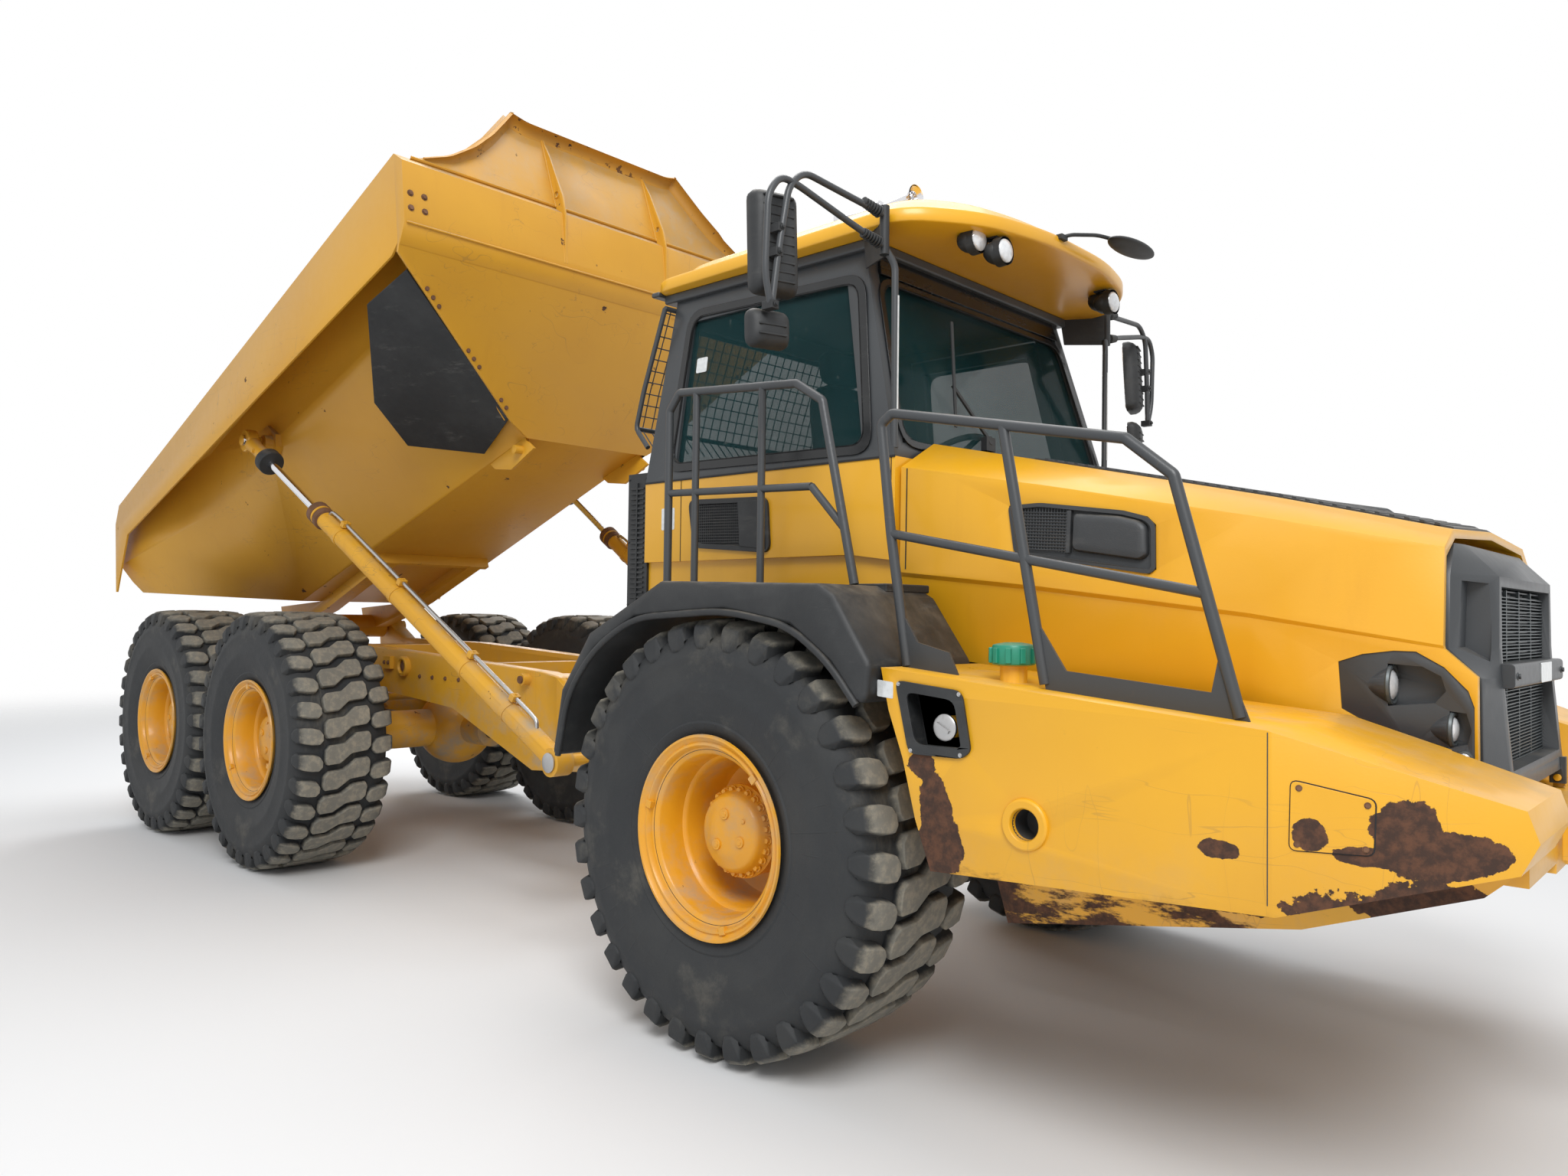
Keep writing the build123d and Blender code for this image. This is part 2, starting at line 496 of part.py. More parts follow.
# Rubber mats hang from the headboard's side edges and run straight back
MAT_THICKNESS = 14
MAT_LOW = (480, 1440)
MAT_HIGH = (1400, 2140)
MAT_OUTLINE = [
    ("back", "up"), (-439, 1085), (-34, 1116), (596, 728), (725, 409), (332, 66), (-52, 133),
]
with BuildPart() as bin_mats:
    for side in SIDES.values():
        up = Vector(0, side * (MAT_HIGH[0] - MAT_LOW[0]), MAT_HIGH[1] - MAT_LOW[1]).normalized()
        out = Vector(0, side * up.Z, -side * up.Y)
        plane = Plane(origin=(HEAD_FOOT[0], side * MAT_LOW[0], MAT_LOW[1]), x_dir=(-1, 0, 0), z_dir=out)
        flip = 1 if plane.y_dir.Z > 0 else -1
        with BuildSketch(plane) as outline:
            Polygon(*[(back, flip * rise) for back, rise in MAT_OUTLINE[1:]], align=None)
        extrude(outline.sketch, amount=MAT_THICKNESS)
save_tipped(bin_mats.part, "bin_mats")

SUBRAIL_IN = 290
SUBRAIL_OUT = 400
SUBRAIL_FRONT_X = -4450
LATCH_Y = 432
with BuildPart() as bin_subframe:
    for side in SIDES.values():
        side_plate([(SUBRAIL_FRONT_X, 1400), (-5450, 1400), (BIN_HINGE_X - 100, BIN_HINGE_Z - 20),
                    (BIN_HINGE_X - 100, 1700), (-5500, 1489.8), (SUBRAIL_FRONT_X, 1474.9)],
                   side * SUBRAIL_IN, side * SUBRAIL_OUT)
        side_plate([(-2900, 1452.6), (-2500, 1447), (-2490, 1415), (-2440, 1345), (-2700, 1322), (-2860, 1400)],
                   side * LATCH_Y, side * (LATCH_Y + 18))
        bar((-2560, side * LATCH_Y, 1390), (-2560, side * (LATCH_Y + 70), 1390), 26)
    block((SUBRAIL_FRONT_X - 50, SUBRAIL_FRONT_X), (-455, 455), (1405, 1474.7))
    bar((BIN_HINGE_X, -SUBRAIL_OUT, BIN_HINGE_Z), (BIN_HINGE_X, SUBRAIL_OUT, BIN_HINGE_Z), 95)
    bar((BIN_HINGE_X, -SUBRAIL_OUT, BIN_HINGE_Z), (BIN_HINGE_X, SUBRAIL_OUT, BIN_HINGE_Z),
        HINGE_PIN_RADIUS + RUNNING_CLEARANCE, mode=Mode.SUBTRACT)
save_tipped(bin_subframe.part, "bin_subframe")

# Hoist cylinders, measured along their own line from the foot pin
HOIST_LENGTH = math.dist(HOIST_EYE, HOIST_FOOT)


def hoist_line(side, distance):
    """The point of a hoist cylinder's axis at a distance from its foot pin."""
    return tuple(
        foot + (eye - foot) * distance / HOIST_LENGTH
        for foot, eye in zip(mirrored(HOIST_FOOT, side), mirrored(HOIST_EYE, side))
    )


for side_name, side in SIDES.items():
    with BuildPart() as hoist_barrel:
        bar(hoist_line(side, 0), hoist_line(side, HOIST_GLAND_AT - 60), HOIST_BARREL_RADIUS)
        bar(hoist_line(side, HOIST_GLAND_AT - 60), hoist_line(side, HOIST_GLAND_AT), 68)
        bar((HOIST_FOOT[0], side * (HOIST_FOOT[1] - 50), HOIST_FOOT[2]),
            (HOIST_FOOT[0], side * (HOIST_FOOT[1] + 50), HOIST_FOOT[2]), 72)
        bar(hoist_line(side, 300), hoist_line(side, HOIST_GLAND_AT), HOIST_ROD_RADIUS + RUNNING_CLEARANCE,
            mode=Mode.SUBTRACT)
        bar((HOIST_FOOT[0], side * (HOIST_FOOT[1] - 90), HOIST_FOOT[2]),
            (HOIST_FOOT[0], side * (HOIST_FOOT[1] + 90), HOIST_FOOT[2]), 32 + RUNNING_CLEARANCE,
            mode=Mode.SUBTRACT)
    save(hoist_barrel.part, f"hoist_barrel_{side_name}")
    with BuildPart() as hoist_rod:
        bar(hoist_line(side, 1020), hoist_line(side, HOIST_LENGTH), HOIST_ROD_RADIUS)
        bar(hoist_line(side, HOIST_LENGTH - 340), hoist_line(side, HOIST_LENGTH - 295), 78)
        bar(hoist_line(side, HOIST_LENGTH - 295), hoist_line(side, HOIST_LENGTH - 40), 40)
        bar((HOIST_EYE[0], side * (HOIST_EYE[1] - 35), HOIST_EYE[2]),
            (HOIST_EYE[0], side * (HOIST_EYE[1] + 35), HOIST_EYE[2]), 72)
        bar((HOIST_EYE[0], side * (HOIST_EYE[1] - 63), HOIST_EYE[2]),
            (HOIST_EYE[0], side * (HOIST_EYE[1] + 50), HOIST_EYE[2]), 34)
    save(hoist_rod.part, f"hoist_rod_{side_name}")


# Sills: the side boxes in front of the front wheels, their skirts and their tapered noses
SILL_OUT = 1440
SILL_IN = 430
SILL_TOP = [(796, 1463), (1990, 1356), (2489, 1198)]
SILL_ARCH = [(994, 850), (935, 1000), (885, 1183), (828, 1330)]
FILLER_RECESS = [(886, 1402), (1088, 1384), (1116, 1236), (1100, 1224), (930, 1222)]
FILLER_NECK = (1165, 1250)
HOOD_HINGE_X = 2324
HOOD_HINGE_Z = 1098
HOOD_PIN_RADIUS = 12
NOSE_TOP = 1060
with BuildPart() as nose_beam:
    block((2160, 2420), (-FRONT_RAIL_IN, FRONT_RAIL_IN), (900, NOSE_TOP))
    front_plate([(-760, 930), (760, 930), (760, NOSE_TOP), (-760, NOSE_TOP)], 2242, 2420)
    for side in SIDES.values():
        block((HOOD_HINGE_X - 18, HOOD_HINGE_X + 18), (side * 438, side * 456), (NOSE_TOP, HOOD_HINGE_Z + 16))
        bar((HOOD_HINGE_X, side * 398, HOOD_HINGE_Z), (HOOD_HINGE_X, side * 456, HOOD_HINGE_Z), HOOD_PIN_RADIUS)
    for z_from in (1010, 900):
        plan_plate([(2420, -150), (2600, -110), (2672, -60), (2672, 60), (2600, 110), (2420, 150)],
                   z_from, z_from + 40)
    bar((2600, 0, 850), (2600, 0, 1100), 26, mode=Mode.SUBTRACT)
save(nose_beam.part, "nose_beam")

with BuildPart() as sills:
    for side in SIDES.values():
        side_plate(SILL_TOP + [(2512, 1125), (2477, 1050), (2008, 905)] + SILL_ARCH,
                   side * SILL_IN, side * SILL_OUT)
        side_plate([(994, 852), (2008, 907), (2477, 1052), (2380, 960), (1960, 800), (1060, 640)],
                   side * SILL_IN, side * 1100)
        plan_plate([(1990, side * (SILL_OUT + 5)), (2600, side * (SILL_OUT + 5)), (2600, side * 1180)],
                   600, 1500, mode=Mode.SUBTRACT)
        plan_plate([(300, 0), (300, side * sill_inner_y(300)), (2240, side * sill_inner_y(2240)),
                    (2240, side * 760), (2700, side * 760), (2700, 0)], 600, 1500, mode=Mode.SUBTRACT)
        bar((1320, side * (SILL_OUT - 90), 1035), (1320, side * SILL_OUT, 1035), 45, mode=Mode.SUBTRACT)
        side_plate(FILLER_RECESS, side * (SILL_OUT - 70), side * (SILL_OUT + 5), mode=Mode.SUBTRACT)
        bar((1040, side * (SILL_OUT - 72), 1290), (1040, side * (SILL_OUT - 14), 1290), 34)
        bar((FILLER_NECK[0], side * FILLER_NECK[1], 1400), (FILLER_NECK[0], side * FILLER_NECK[1], 1480), 42)
        bar((FILLER_NECK[0], side * FILLER_NECK[1], 1480), (FILLER_NECK[0], side * FILLER_NECK[1], 1540), 62)
save(sills.part, "sills")

# Mudguards
MUDGUARD_TOP = [(776, 1360), (789, 1473), (630, 1695), (560, 1733), (-231, 1751), (-662, 1548),
                (-845, 1307), (-901, 1031)]
MUDGUARD_ARCH = [(-861, 1031), (-800, 1290), (-630, 1480), (-380, 1610), (123, 1640), (440, 1590), (620, 1470),
                 (736, 1340)]
with BuildPart() as mudguards:
    for side in SIDES.values():
        side_plate(MUDGUARD_TOP + MUDGUARD_ARCH, side * MUDGUARD_IN, side * MUDGUARD_OUT)
save(mudguards.part, "mudguards")

# Cab: a hollow lower shell, a pillar frame with its windows cut, the roof, the glass and the door
CAB_FOLD = 28
CAB_TOP_HALF = 775
CAB_TOP_FRONT_X = 180
CAB_TOP_REAR_X = -960
DOOR_X = (-700, 250)
DOOR_LOW_Z = 1800
DOOR_HIGH_Z = CAB_TOP_Z - 60
SIDE_WINDOW = [
    (-850, CAB_WAIST_Z + 50), (255, CAB_WAIST_Z + 50), (100, CAB_TOP_Z - 120), (-830, CAB_TOP_Z - 120),
]


def cab_block(inset_by, z_from, z_to):
    """Adds the cab's tapering upper form, set in by a distance, between two heights."""
    faces = []
    for z, rear, front, half in (
        (CAB_WAIST_Z, CAB_REAR_X, CAB_FRONT_X, CAB_HALF_WIDTH),
        (CAB_TOP_Z, CAB_TOP_REAR_X, CAB_TOP_FRONT_X, CAB_TOP_HALF),
    ):
        with BuildSketch(Plane.XY.offset(z)) as section:
            Polygon((rear + inset_by, -half + inset_by), (front - inset_by, -half + inset_by),
                    (front - inset_by, half - inset_by), (rear + inset_by, half - inset_by), align=None)
        faces.append(section.sketch.face())
    loft(faces, ruled=True)


with BuildPart() as cab_outer:
    cab_block(0, CAB_WAIST_Z, CAB_TOP_Z)
with BuildPart() as cab_inner:
    cab_block(CAB_WALL, CAB_WAIST_Z, CAB_TOP_Z)
with BuildPart() as door_zone:
    side_plate([(DOOR_X[0], DOOR_LOW_Z), (DOOR_X[1], DOOR_LOW_Z), (DOOR_X[1], CAB_WAIST_Z),
                (DOOR_X[1] - 170, DOOR_HIGH_Z), (DOOR_X[0], DOOR_HIGH_Z)], 600, 1000)
with BuildPart() as door_form:
    side_plate([(DOOR_X[0] + DOOR_GAP, DOOR_LOW_Z + DOOR_GAP), (DOOR_X[1] - DOOR_GAP, DOOR_LOW_Z + DOOR_GAP),
                (DOOR_X[1] - DOOR_GAP, CAB_WAIST_Z), (DOOR_X[1] - 170 - DOOR_GAP, DOOR_HIGH_Z - DOOR_GAP),
                (DOOR_X[0] + DOOR_GAP, DOOR_HIGH_Z - DOOR_GAP)], 600, 1000)
with BuildPart() as side_window_form:
    side_plate(SIDE_WINDOW, -1000, -600)
with BuildPart() as door_window_form:
    side_plate([(DOOR_X[0] + 75, CAB_WAIST_Z + 50), (DOOR_X[1] - 85, CAB_WAIST_Z + 50),
                (DOOR_X[1] - 222, CAB_TOP_Z - 135), (DOOR_X[0] + 75, CAB_TOP_Z - 135)], 600, 1000)
with BuildPart() as front_window_form:
    front_plate([(-810, CAB_WAIST_Z + 60), (810, CAB_WAIST_Z + 60), (715, CAB_TOP_Z - 70),
                 (-715, CAB_TOP_Z - 70)], 50, 600)
with BuildPart() as rear_window_form:
    front_plate([(-760, CAB_WAIST_Z + 90), (760, CAB_WAIST_Z + 90), (680, CAB_TOP_Z - 110),
                 (-680, CAB_TOP_Z - 110)], -1100, -880)

# Door hinges: the axis leans in with the door, and an eye on the door turns between two cheeks
DOOR_AXIS_X = -720
DOOR_AXIS_LOW_Y = 925
DOOR_AXIS_LEAN = 0.064
DOOR_PIN_RADIUS = 7
DOOR_EYE_RADIUS = 16
DOOR_EYE_HALF = 26
DOOR_HINGES = {"low": 1950, "high": 2900}


def door_axis(z):
    """The point of the door's hinge axis at a height."""
    return (DOOR_AXIS_X, DOOR_AXIS_LOW_Y - DOOR_AXIS_LEAN * (z - DOOR_LOW_Z), z)


def cab_side_y(z):
    """The outer face of the cab's side at a height."""
    rise = max(z - CAB_WAIST_Z, 0) / (CAB_TOP_Z - CAB_WAIST_Z)
    return CAB_HALF_WIDTH - rise * (CAB_HALF_WIDTH - CAB_TOP_HALF)


def hinge_cheeks(z):
    """Adds the two fixed cheeks of a door hinge and the pin between them."""
    for low, high in ((z - 60, z - 32), (z + 32, z + 60)):
        block((DOOR_AXIS_X - 30, DOOR_AXIS_X + 16), (cab_side_y(low) - 20, door_axis(low)[1] + 14), (low, high))
    bar(door_axis(z - 60), door_axis(z + 60), DOOR_PIN_RADIUS)


def hinge_eye(z):
    """Adds the door's hinge eye with the arm that carries it."""
    low, high = z - DOOR_EYE_HALF, z + DOOR_EYE_HALF
    bar(door_axis(low), door_axis(high), DOOR_EYE_RADIUS)
    block((DOOR_AXIS_X + 4, DOOR_X[0] + 50), (cab_side_y(low) + 7, door_axis(high)[1]), (low + 4, high - 4))
    block((DOOR_X[0] + 12, DOOR_X[0] + 50), (cab_side_y(high) - 20, door_axis(high)[1]), (low + 4, high - 4))
    bar(door_axis(low - 10), door_axis(high + 10), DOOR_PIN_RADIUS + RUNNING_CLEARANCE, mode=Mode.SUBTRACT)


with BuildPart() as cab_shell:
    block((CAB_REAR_X, CAB_FRONT_X), (-CAB_HALF_WIDTH, CAB_HALF_WIDTH), (CAB_FLOOR_Z, CAB_WAIST_Z))
    block((CAB_REAR_X + CAB_WALL, CAB_FRONT_X - CAB_WALL),
          (-CAB_HALF_WIDTH + CAB_WALL, CAB_HALF_WIDTH - CAB_WALL), (CAB_FLOOR_Z + CAB_WALL, CAB_WAIST_Z),
          mode=Mode.SUBTRACT)
    add(door_zone.part, mode=Mode.SUBTRACT)
    side_plate([(CAB_REAR_X, CAB_FLOOR_Z), (CAB_FRONT_X, CAB_FLOOR_Z), (CAB_FRONT_X, 1840), (200, 1868),
                (CAB_REAR_X, 1868)], -CAB_HALF_WIDTH, -CAB_HALF_WIDTH + CAB_FOLD, mode=Mode.SUBTRACT)
    hinge_cheeks(DOOR_HINGES["low"])
save(cab_shell.part, "cab_shell")

with BuildPart() as cab_frame:
    add(cab_outer.part)
    add(cab_inner.part, mode=Mode.SUBTRACT)
    for form in (door_zone, side_window_form, front_window_form, rear_window_form):
        add(form.part, mode=Mode.SUBTRACT)
    hinge_cheeks(DOOR_HINGES["high"])
save(cab_frame.part, "cab_frame")

with BuildPart() as glass_skin:
    cab_block(15, CAB_WAIST_Z, CAB_TOP_Z)
with BuildPart() as glass_inner:
    cab_block(23, CAB_WAIST_Z, CAB_TOP_Z)
with BuildPart() as cab_panes_zone:
    for form in (side_window_form, front_window_form, rear_window_form):
        add(form.part)
with BuildPart() as cab_glass:
    add(glass_skin.part)
    add(glass_inner.part, mode=Mode.SUBTRACT)
    add(cab_panes_zone.part, mode=Mode.INTERSECT)
save(cab_glass.part, "cab_glass")

with BuildPart() as cab_door:
    add(cab_outer.part)
    add(cab_inner.part, mode=Mode.SUBTRACT)
    block((CAB_REAR_X, CAB_FRONT_X), (CAB_HALF_WIDTH - CAB_WALL, CAB_HALF_WIDTH), (CAB_FLOOR_Z, CAB_WAIST_Z))
    add(door_form.part, mode=Mode.INTERSECT)
    add(door_window_form.part, mode=Mode.SUBTRACT)
    for z in DOOR_HINGES.values():
        hinge_eye(z)
save(cab_door.part, "cab_door")
with BuildPart() as door_glass:
    add(glass_skin.part)
    add(glass_inner.part, mode=Mode.SUBTRACT)
    add(door_window_form.part, mode=Mode.INTERSECT)
save(door_glass.part, "door_glass")

ROOF_EAVE_Z = CAB_TOP_Z + 90
ROOF_TOP_Z = CAB_TOP_Z + 330
with BuildPart() as cab_roof:
    plan_plate([(-1075, -850), (430, -885), (640, -600), (720, -250), (720, 250), (640, 600), (430, 885),
                (-1075, 850)], CAB_TOP_Z + 60, ROOF_EAVE_Z)
    plan_plate([(-1040, -820), (-1040, 820), (200, 830), (200, -830)], CAB_TOP_Z, CAB_TOP_Z + 60)
    faces = []
    for z, rear, front, half in ((ROOF_EAVE_Z, -1075, 560, 850), (ROOF_TOP_Z - 120, -1000, 300, 700)):
        with BuildSketch(Plane.XY.offset(z)) as section:
            Polygon((rear, -half), (front - 200, -half), (front, -half / 2), (front, half / 2),
                    (front - 200, half), (rear, half), align=None)
        faces.append(section.sketch.face())
    loft(faces, ruled=True)
save(cab_roof.part, "cab_roof")

with BuildPart() as operator_seat:
    block((-520, -60), (-250, 250), (2080, 2200))
    side_plate([(-520, 2150), (-400, 2150), (-480, 2850), (-590, 2850)], -240, 240)
    block((-440, -140), (-180, 180), (CAB_FLOOR_Z + CAB_WALL, 2080))
save(operator_seat.part, "operator_seat")

with BuildPart() as dashboard:
    side_plate([(374, CAB_FLOOR_Z + CAB_WALL), (374, 2238), (150, 2150), (200, CAB_FLOOR_Z + CAB_WALL)], -700, 700)
    bar((200, 0, 2120), (60, 0, 2330), 28)
    with Locations(Plane(origin=(60, 0, 2330), z_dir=(-140, 0, 210))):
        Torus(205, 14)
        Box(410, 30, 14)
save(dashboard.part, "dashboard")

with BuildPart() as intake_box:
    block((CAB_REAR_X - 150, CAB_REAR_X), (-870, -350), (1640, 2300))
save(intake_box.part, "intake_box")

# Handrails: the front loop stands on each sill, the rear one goes round the cab's side
RAIL_TUBE = 17
FRONT_RAIL_Y = 1320
FRONT_RAIL_LOOP = [
    (812, 1466), (740, 1900), (694, 2270), (740, 2300), (1560, 2134), (1700, 2020), (1880, 1372.2),
]
REAR_RAIL_Y = 1180
SILL_FALL = (SILL_TOP[0][1] - SILL_TOP[1][1]) / (SILL_TOP[1][0] - SILL_TOP[0][0])
GUSSET_HALF = 5


def sill_top(x):
    """The height of the sill's top at a distance along the machine."""
    return SILL_TOP[0][1] - SILL_FALL * (x - SILL_TOP[0][0])


with BuildPart() as handrails:
    for side in SIDES.values():
        rail_y = side * FRONT_RAIL_Y
        bent_tube([(x, rail_y, z) for x, z in FRONT_RAIL_LOOP], RAIL_TUBE, 25)
        bar((1164, rail_y, 2214), (1314, rail_y, sill_top(1314) + 14), RAIL_TUBE)
        bar((740, rail_y, 1900), (1790, rail_y, 1696), RAIL_TUBE - 2)
        for outline in (
            [(790, 1640), (806, sill_top(806)), (1010, sill_top(1010)), (975, 1514), (853, 1543)],
            [(1290, 1611), (1318, sill_top(1318)), (1905, sill_top(1905)), (1830, 1555), (1806, 1434),
             (1382, 1473)],
        ):
            side_plate(outline, side * (FRONT_RAIL_Y - GUSSET_HALF), side * (FRONT_RAIL_Y + GUSSET_HALF))
    bent_tube([(-540, -REAR_RAIL_Y, 1614), (-540, -REAR_RAIL_Y, 2480), (-480, -REAR_RAIL_Y, 2550),
               (180, -REAR_RAIL_Y, 2500), (310, -REAR_RAIL_Y, 2420), (471.3, -REAR_RAIL_Y, 1739.5)], RAIL_TUBE, 25)
    for start, end in (((-374, 2541), (-374, 1692)), ((2, 2513), (2, 1746.1)), ((-540, 2133), (262, 2105)),
                       ((262, 2105), (424, 1940))):
        bar((start[0], -REAR_RAIL_Y, start[1]), (end[0], -REAR_RAIL_Y, end[1]), RAIL_TUBE - 2)
save(handrails.part, "handrails")

# Mirrors: an arm from each front pillar with a tall head and a wide-angle head below it
MIRROR_FOOT = (396, 922, 3116)
with BuildPart() as mirrors:
    for side in SIDES.values():
        bar((130, side * 735, 3085), (MIRROR_FOOT[0], side * MIRROR_FOOT[1], 3085), 16)
        bar((MIRROR_FOOT[0], side * MIRROR_FOOT[1], 3020), (MIRROR_FOOT[0], side * MIRROR_FOOT[1], 3190), 28)
        bent_tube([mirrored(point, side) for point in (
            (396, 922, 3150), (396, 1000, 3300), (396, 1400, 3330), (396, 1461, 3260), (396, 1461, 2760))],
            11, 40)
        block((405, 470), (side * 1360, side * 1540), (2900, 3230))
        block((405, 460), (side * 1370, side * 1530), (2730, 2870))
    add(cab_outer.part, mode=Mode.SUBTRACT)
save(mirrors.part, "mirrors")

ROOF_LAMPS = [("x", "y", "z"), (533, 548, 3126), (603, 465, 3085)]
with BuildPart() as roof_lamps:
    for lamp in ROOF_LAMPS[1:]:
        for side in SIDES.values():
            x, y, z = mirrored(lamp, side)
            bar((x - 50, y, z), (x, y, z), 42)
            block((x - 40, x - 20), (y - 8, y + 8), (z, CAB_TOP_Z + 60))
save(roof_lamps.part, "roof_lamps")

with BuildPart() as horn:
    bar((100, -500, 3320), (100, -500, 3400), 14)
    bar((20, -500, 3400), (230, -500, 3400), 30)
save(horn.part, "horn")

with BuildPart() as access_steps:
    for z in (420, 700):
        block((1080, 1420), (1240, 1400), (z, z + 30))
    for x, hanger_top in ((1080, 854), (1400, 871.5)):
        block((x, x + 20), (1290, 1340), (420, hanger_top))
save(access_steps.part, "access_steps")

# Hood: each section's x, then half width and z at its corners from the lower edge up
HOOD_WALL = 25
HOOD_SECTIONS = [
    ("x", "low", "ledge_in", "ledge_out", "crease", "step", "middle"),
    (436, (850, 1500), (852, 1780), (866, 1796), (862, 2197), (650, 2312), (0, 2335)),
    (1000, (803, 1433), (805, 1722), (819, 1738), (797, 2094), (620, 2185), (0, 2210)),
    (1690, (735, 1327), (741, 1636), (752, 1650), (712, 1955), (560, 2030), (0, 2055)),
    (2284, (640, 1150), (648, 1540), (654, 1548), (638, 1826), (540, 1880), (0, 1905)),
]
HOOD_FRONT_TRIM = [(2204, 1960), (2204, 1553), (2284, 1475), (2284, 1100), (2400, 1100), (2400, 1960)]


def hood_form(shrink):
    """Adds the hood's outer form, or the hollow inside it when shrink is its wall."""
    sections = []
    for x, *run in HOOD_SECTIONS[1:]:
        half = [(max(y - shrink, 0), z - (shrink if index > 2 else 0)) for index, (y, z) in enumerate(run)]
        half[0] = (half[0][0], run[0][1] - 10 * bool(shrink))
        sections.append((x, half + [(-y, z) for y, z in reversed(half[:-1])]))
    lofted(sections)


with BuildPart() as hood_outer:
    hood_form(0)
with BuildPart() as hood_hollow:
    hood_form(HOOD_WALL)
LAMP_OUTLINE = [
    (1937, 1508), (2000, 1532), (2080, 1544), (2136, 1543), (2205, 1500), (2262, 1435), (2276, 1390),
    (2276, 1212), (2262, 1199), (2120, 1266), (1945, 1369),
]
VENT_OUTLINE = [
    (880, 2026), (908, 1864), (925, 1848), (1385, 1775), (1406, 1790), (1398, 1938), (1370, 1966),
    (1290, 1990), (1000, 2030),
]
with BuildPart() as lamp_zone:
    for side in SIDES.values():
        side_plate(LAMP_OUTLINE, side * 500, side * 1000)
with BuildPart() as vent_zone:
    for side in SIDES.values():
        side_plate(VENT_OUTLINE, side * 500, side * 1000)

with BuildPart() as hood_shell:
    add(hood_outer.part)
    add(hood_hollow.part, mode=Mode.SUBTRACT)
    for form in (lamp_zone, vent_zone):
        add(form.part, mode=Mode.SUBTRACT)
    side_plate(HOOD_FRONT_TRIM, -1000, 1000, mode=Mode.SUBTRACT)
save(hood_shell.part, "hood_shell")

# Headlamp housings: two scoops a side, each with a lamp that looks forward out of a tapered bowl
LAMP_DEPTH = 100
LAMP_SCOOPS = [
    [(2064, 1506), (2150, 1500), (2196, 1474), (2208, 1432), (2180, 1396), (2064, 1383)],
    [(2216, 1376), (2256, 1372), (2268, 1324), (2258, 1284), (2216, 1273)],
]
LAMP_BOWLS = [("x", "y", "z", "length", "rear_radius", "front_radius"), (2024, 650, 1444, 84, 20, 58),
              (2186, 632, 1324, 64, 18, 49)]
with BuildPart() as headlamp_skin:
    hood_form(4)
with BuildPart() as headlamp_hollow:
    hood_form(LAMP_DEPTH)
with BuildPart() as headlamps:
    add(headlamp_skin.part)
    add(headlamp_hollow.part, mode=Mode.SUBTRACT)
    add(lamp_zone.part, mode=Mode.INTERSECT)
    for side in SIDES.values():
        for scoop in LAMP_SCOOPS:
            side_plate(scoop, side * 605, side * 800, mode=Mode.SUBTRACT)
        for x, y, z, length, rear_radius, front_radius in LAMP_BOWLS[1:]:
            with Locations(Location((x, side * y, z), (0, 90, 0))):
                Cone(rear_radius, front_radius, length)
            bar((x + length / 2 - 2, side * y, z), (x + length / 2 + 6, side * y, z), front_radius - 9)
        bar((2252, side * 560, 1246), (2252, side * 646, 1246), 17)
save(headlamps.part, "headlamps")

# Side vents: a frame with a slatted opening at the rear and a plain panel in front
VENT_DEPTH = 50
SLATS_X = range(952, 1090, 22)
with BuildPart() as vent_skin:
    hood_form(2)
with BuildPart() as vent_hollow:
    hood_form(VENT_DEPTH)
with BuildPart() as hood_vents:
    add(vent_skin.part)
    add(vent_hollow.part, mode=Mode.SUBTRACT)
    add(vent_zone.part, mode=Mode.INTERSECT)
    for side in SIDES.values():
        side_plate([(930, 2004), (948, 1884), (1096, 1861), (1086, 1998)], side * 772, side * 900,
                   mode=Mode.SUBTRACT)
        side_plate([(1110, 1985), (1116, 1866), (1340, 1830), (1370, 1850), (1350, 1930), (1290, 1962)],
                   side * 788, side * 900, mode=Mode.SUBTRACT)
        for x in SLATS_X:
            block((x, x + 6), (side * 770, side * 790), (1868, 2008))
save(hood_vents.part, "hood_vents")

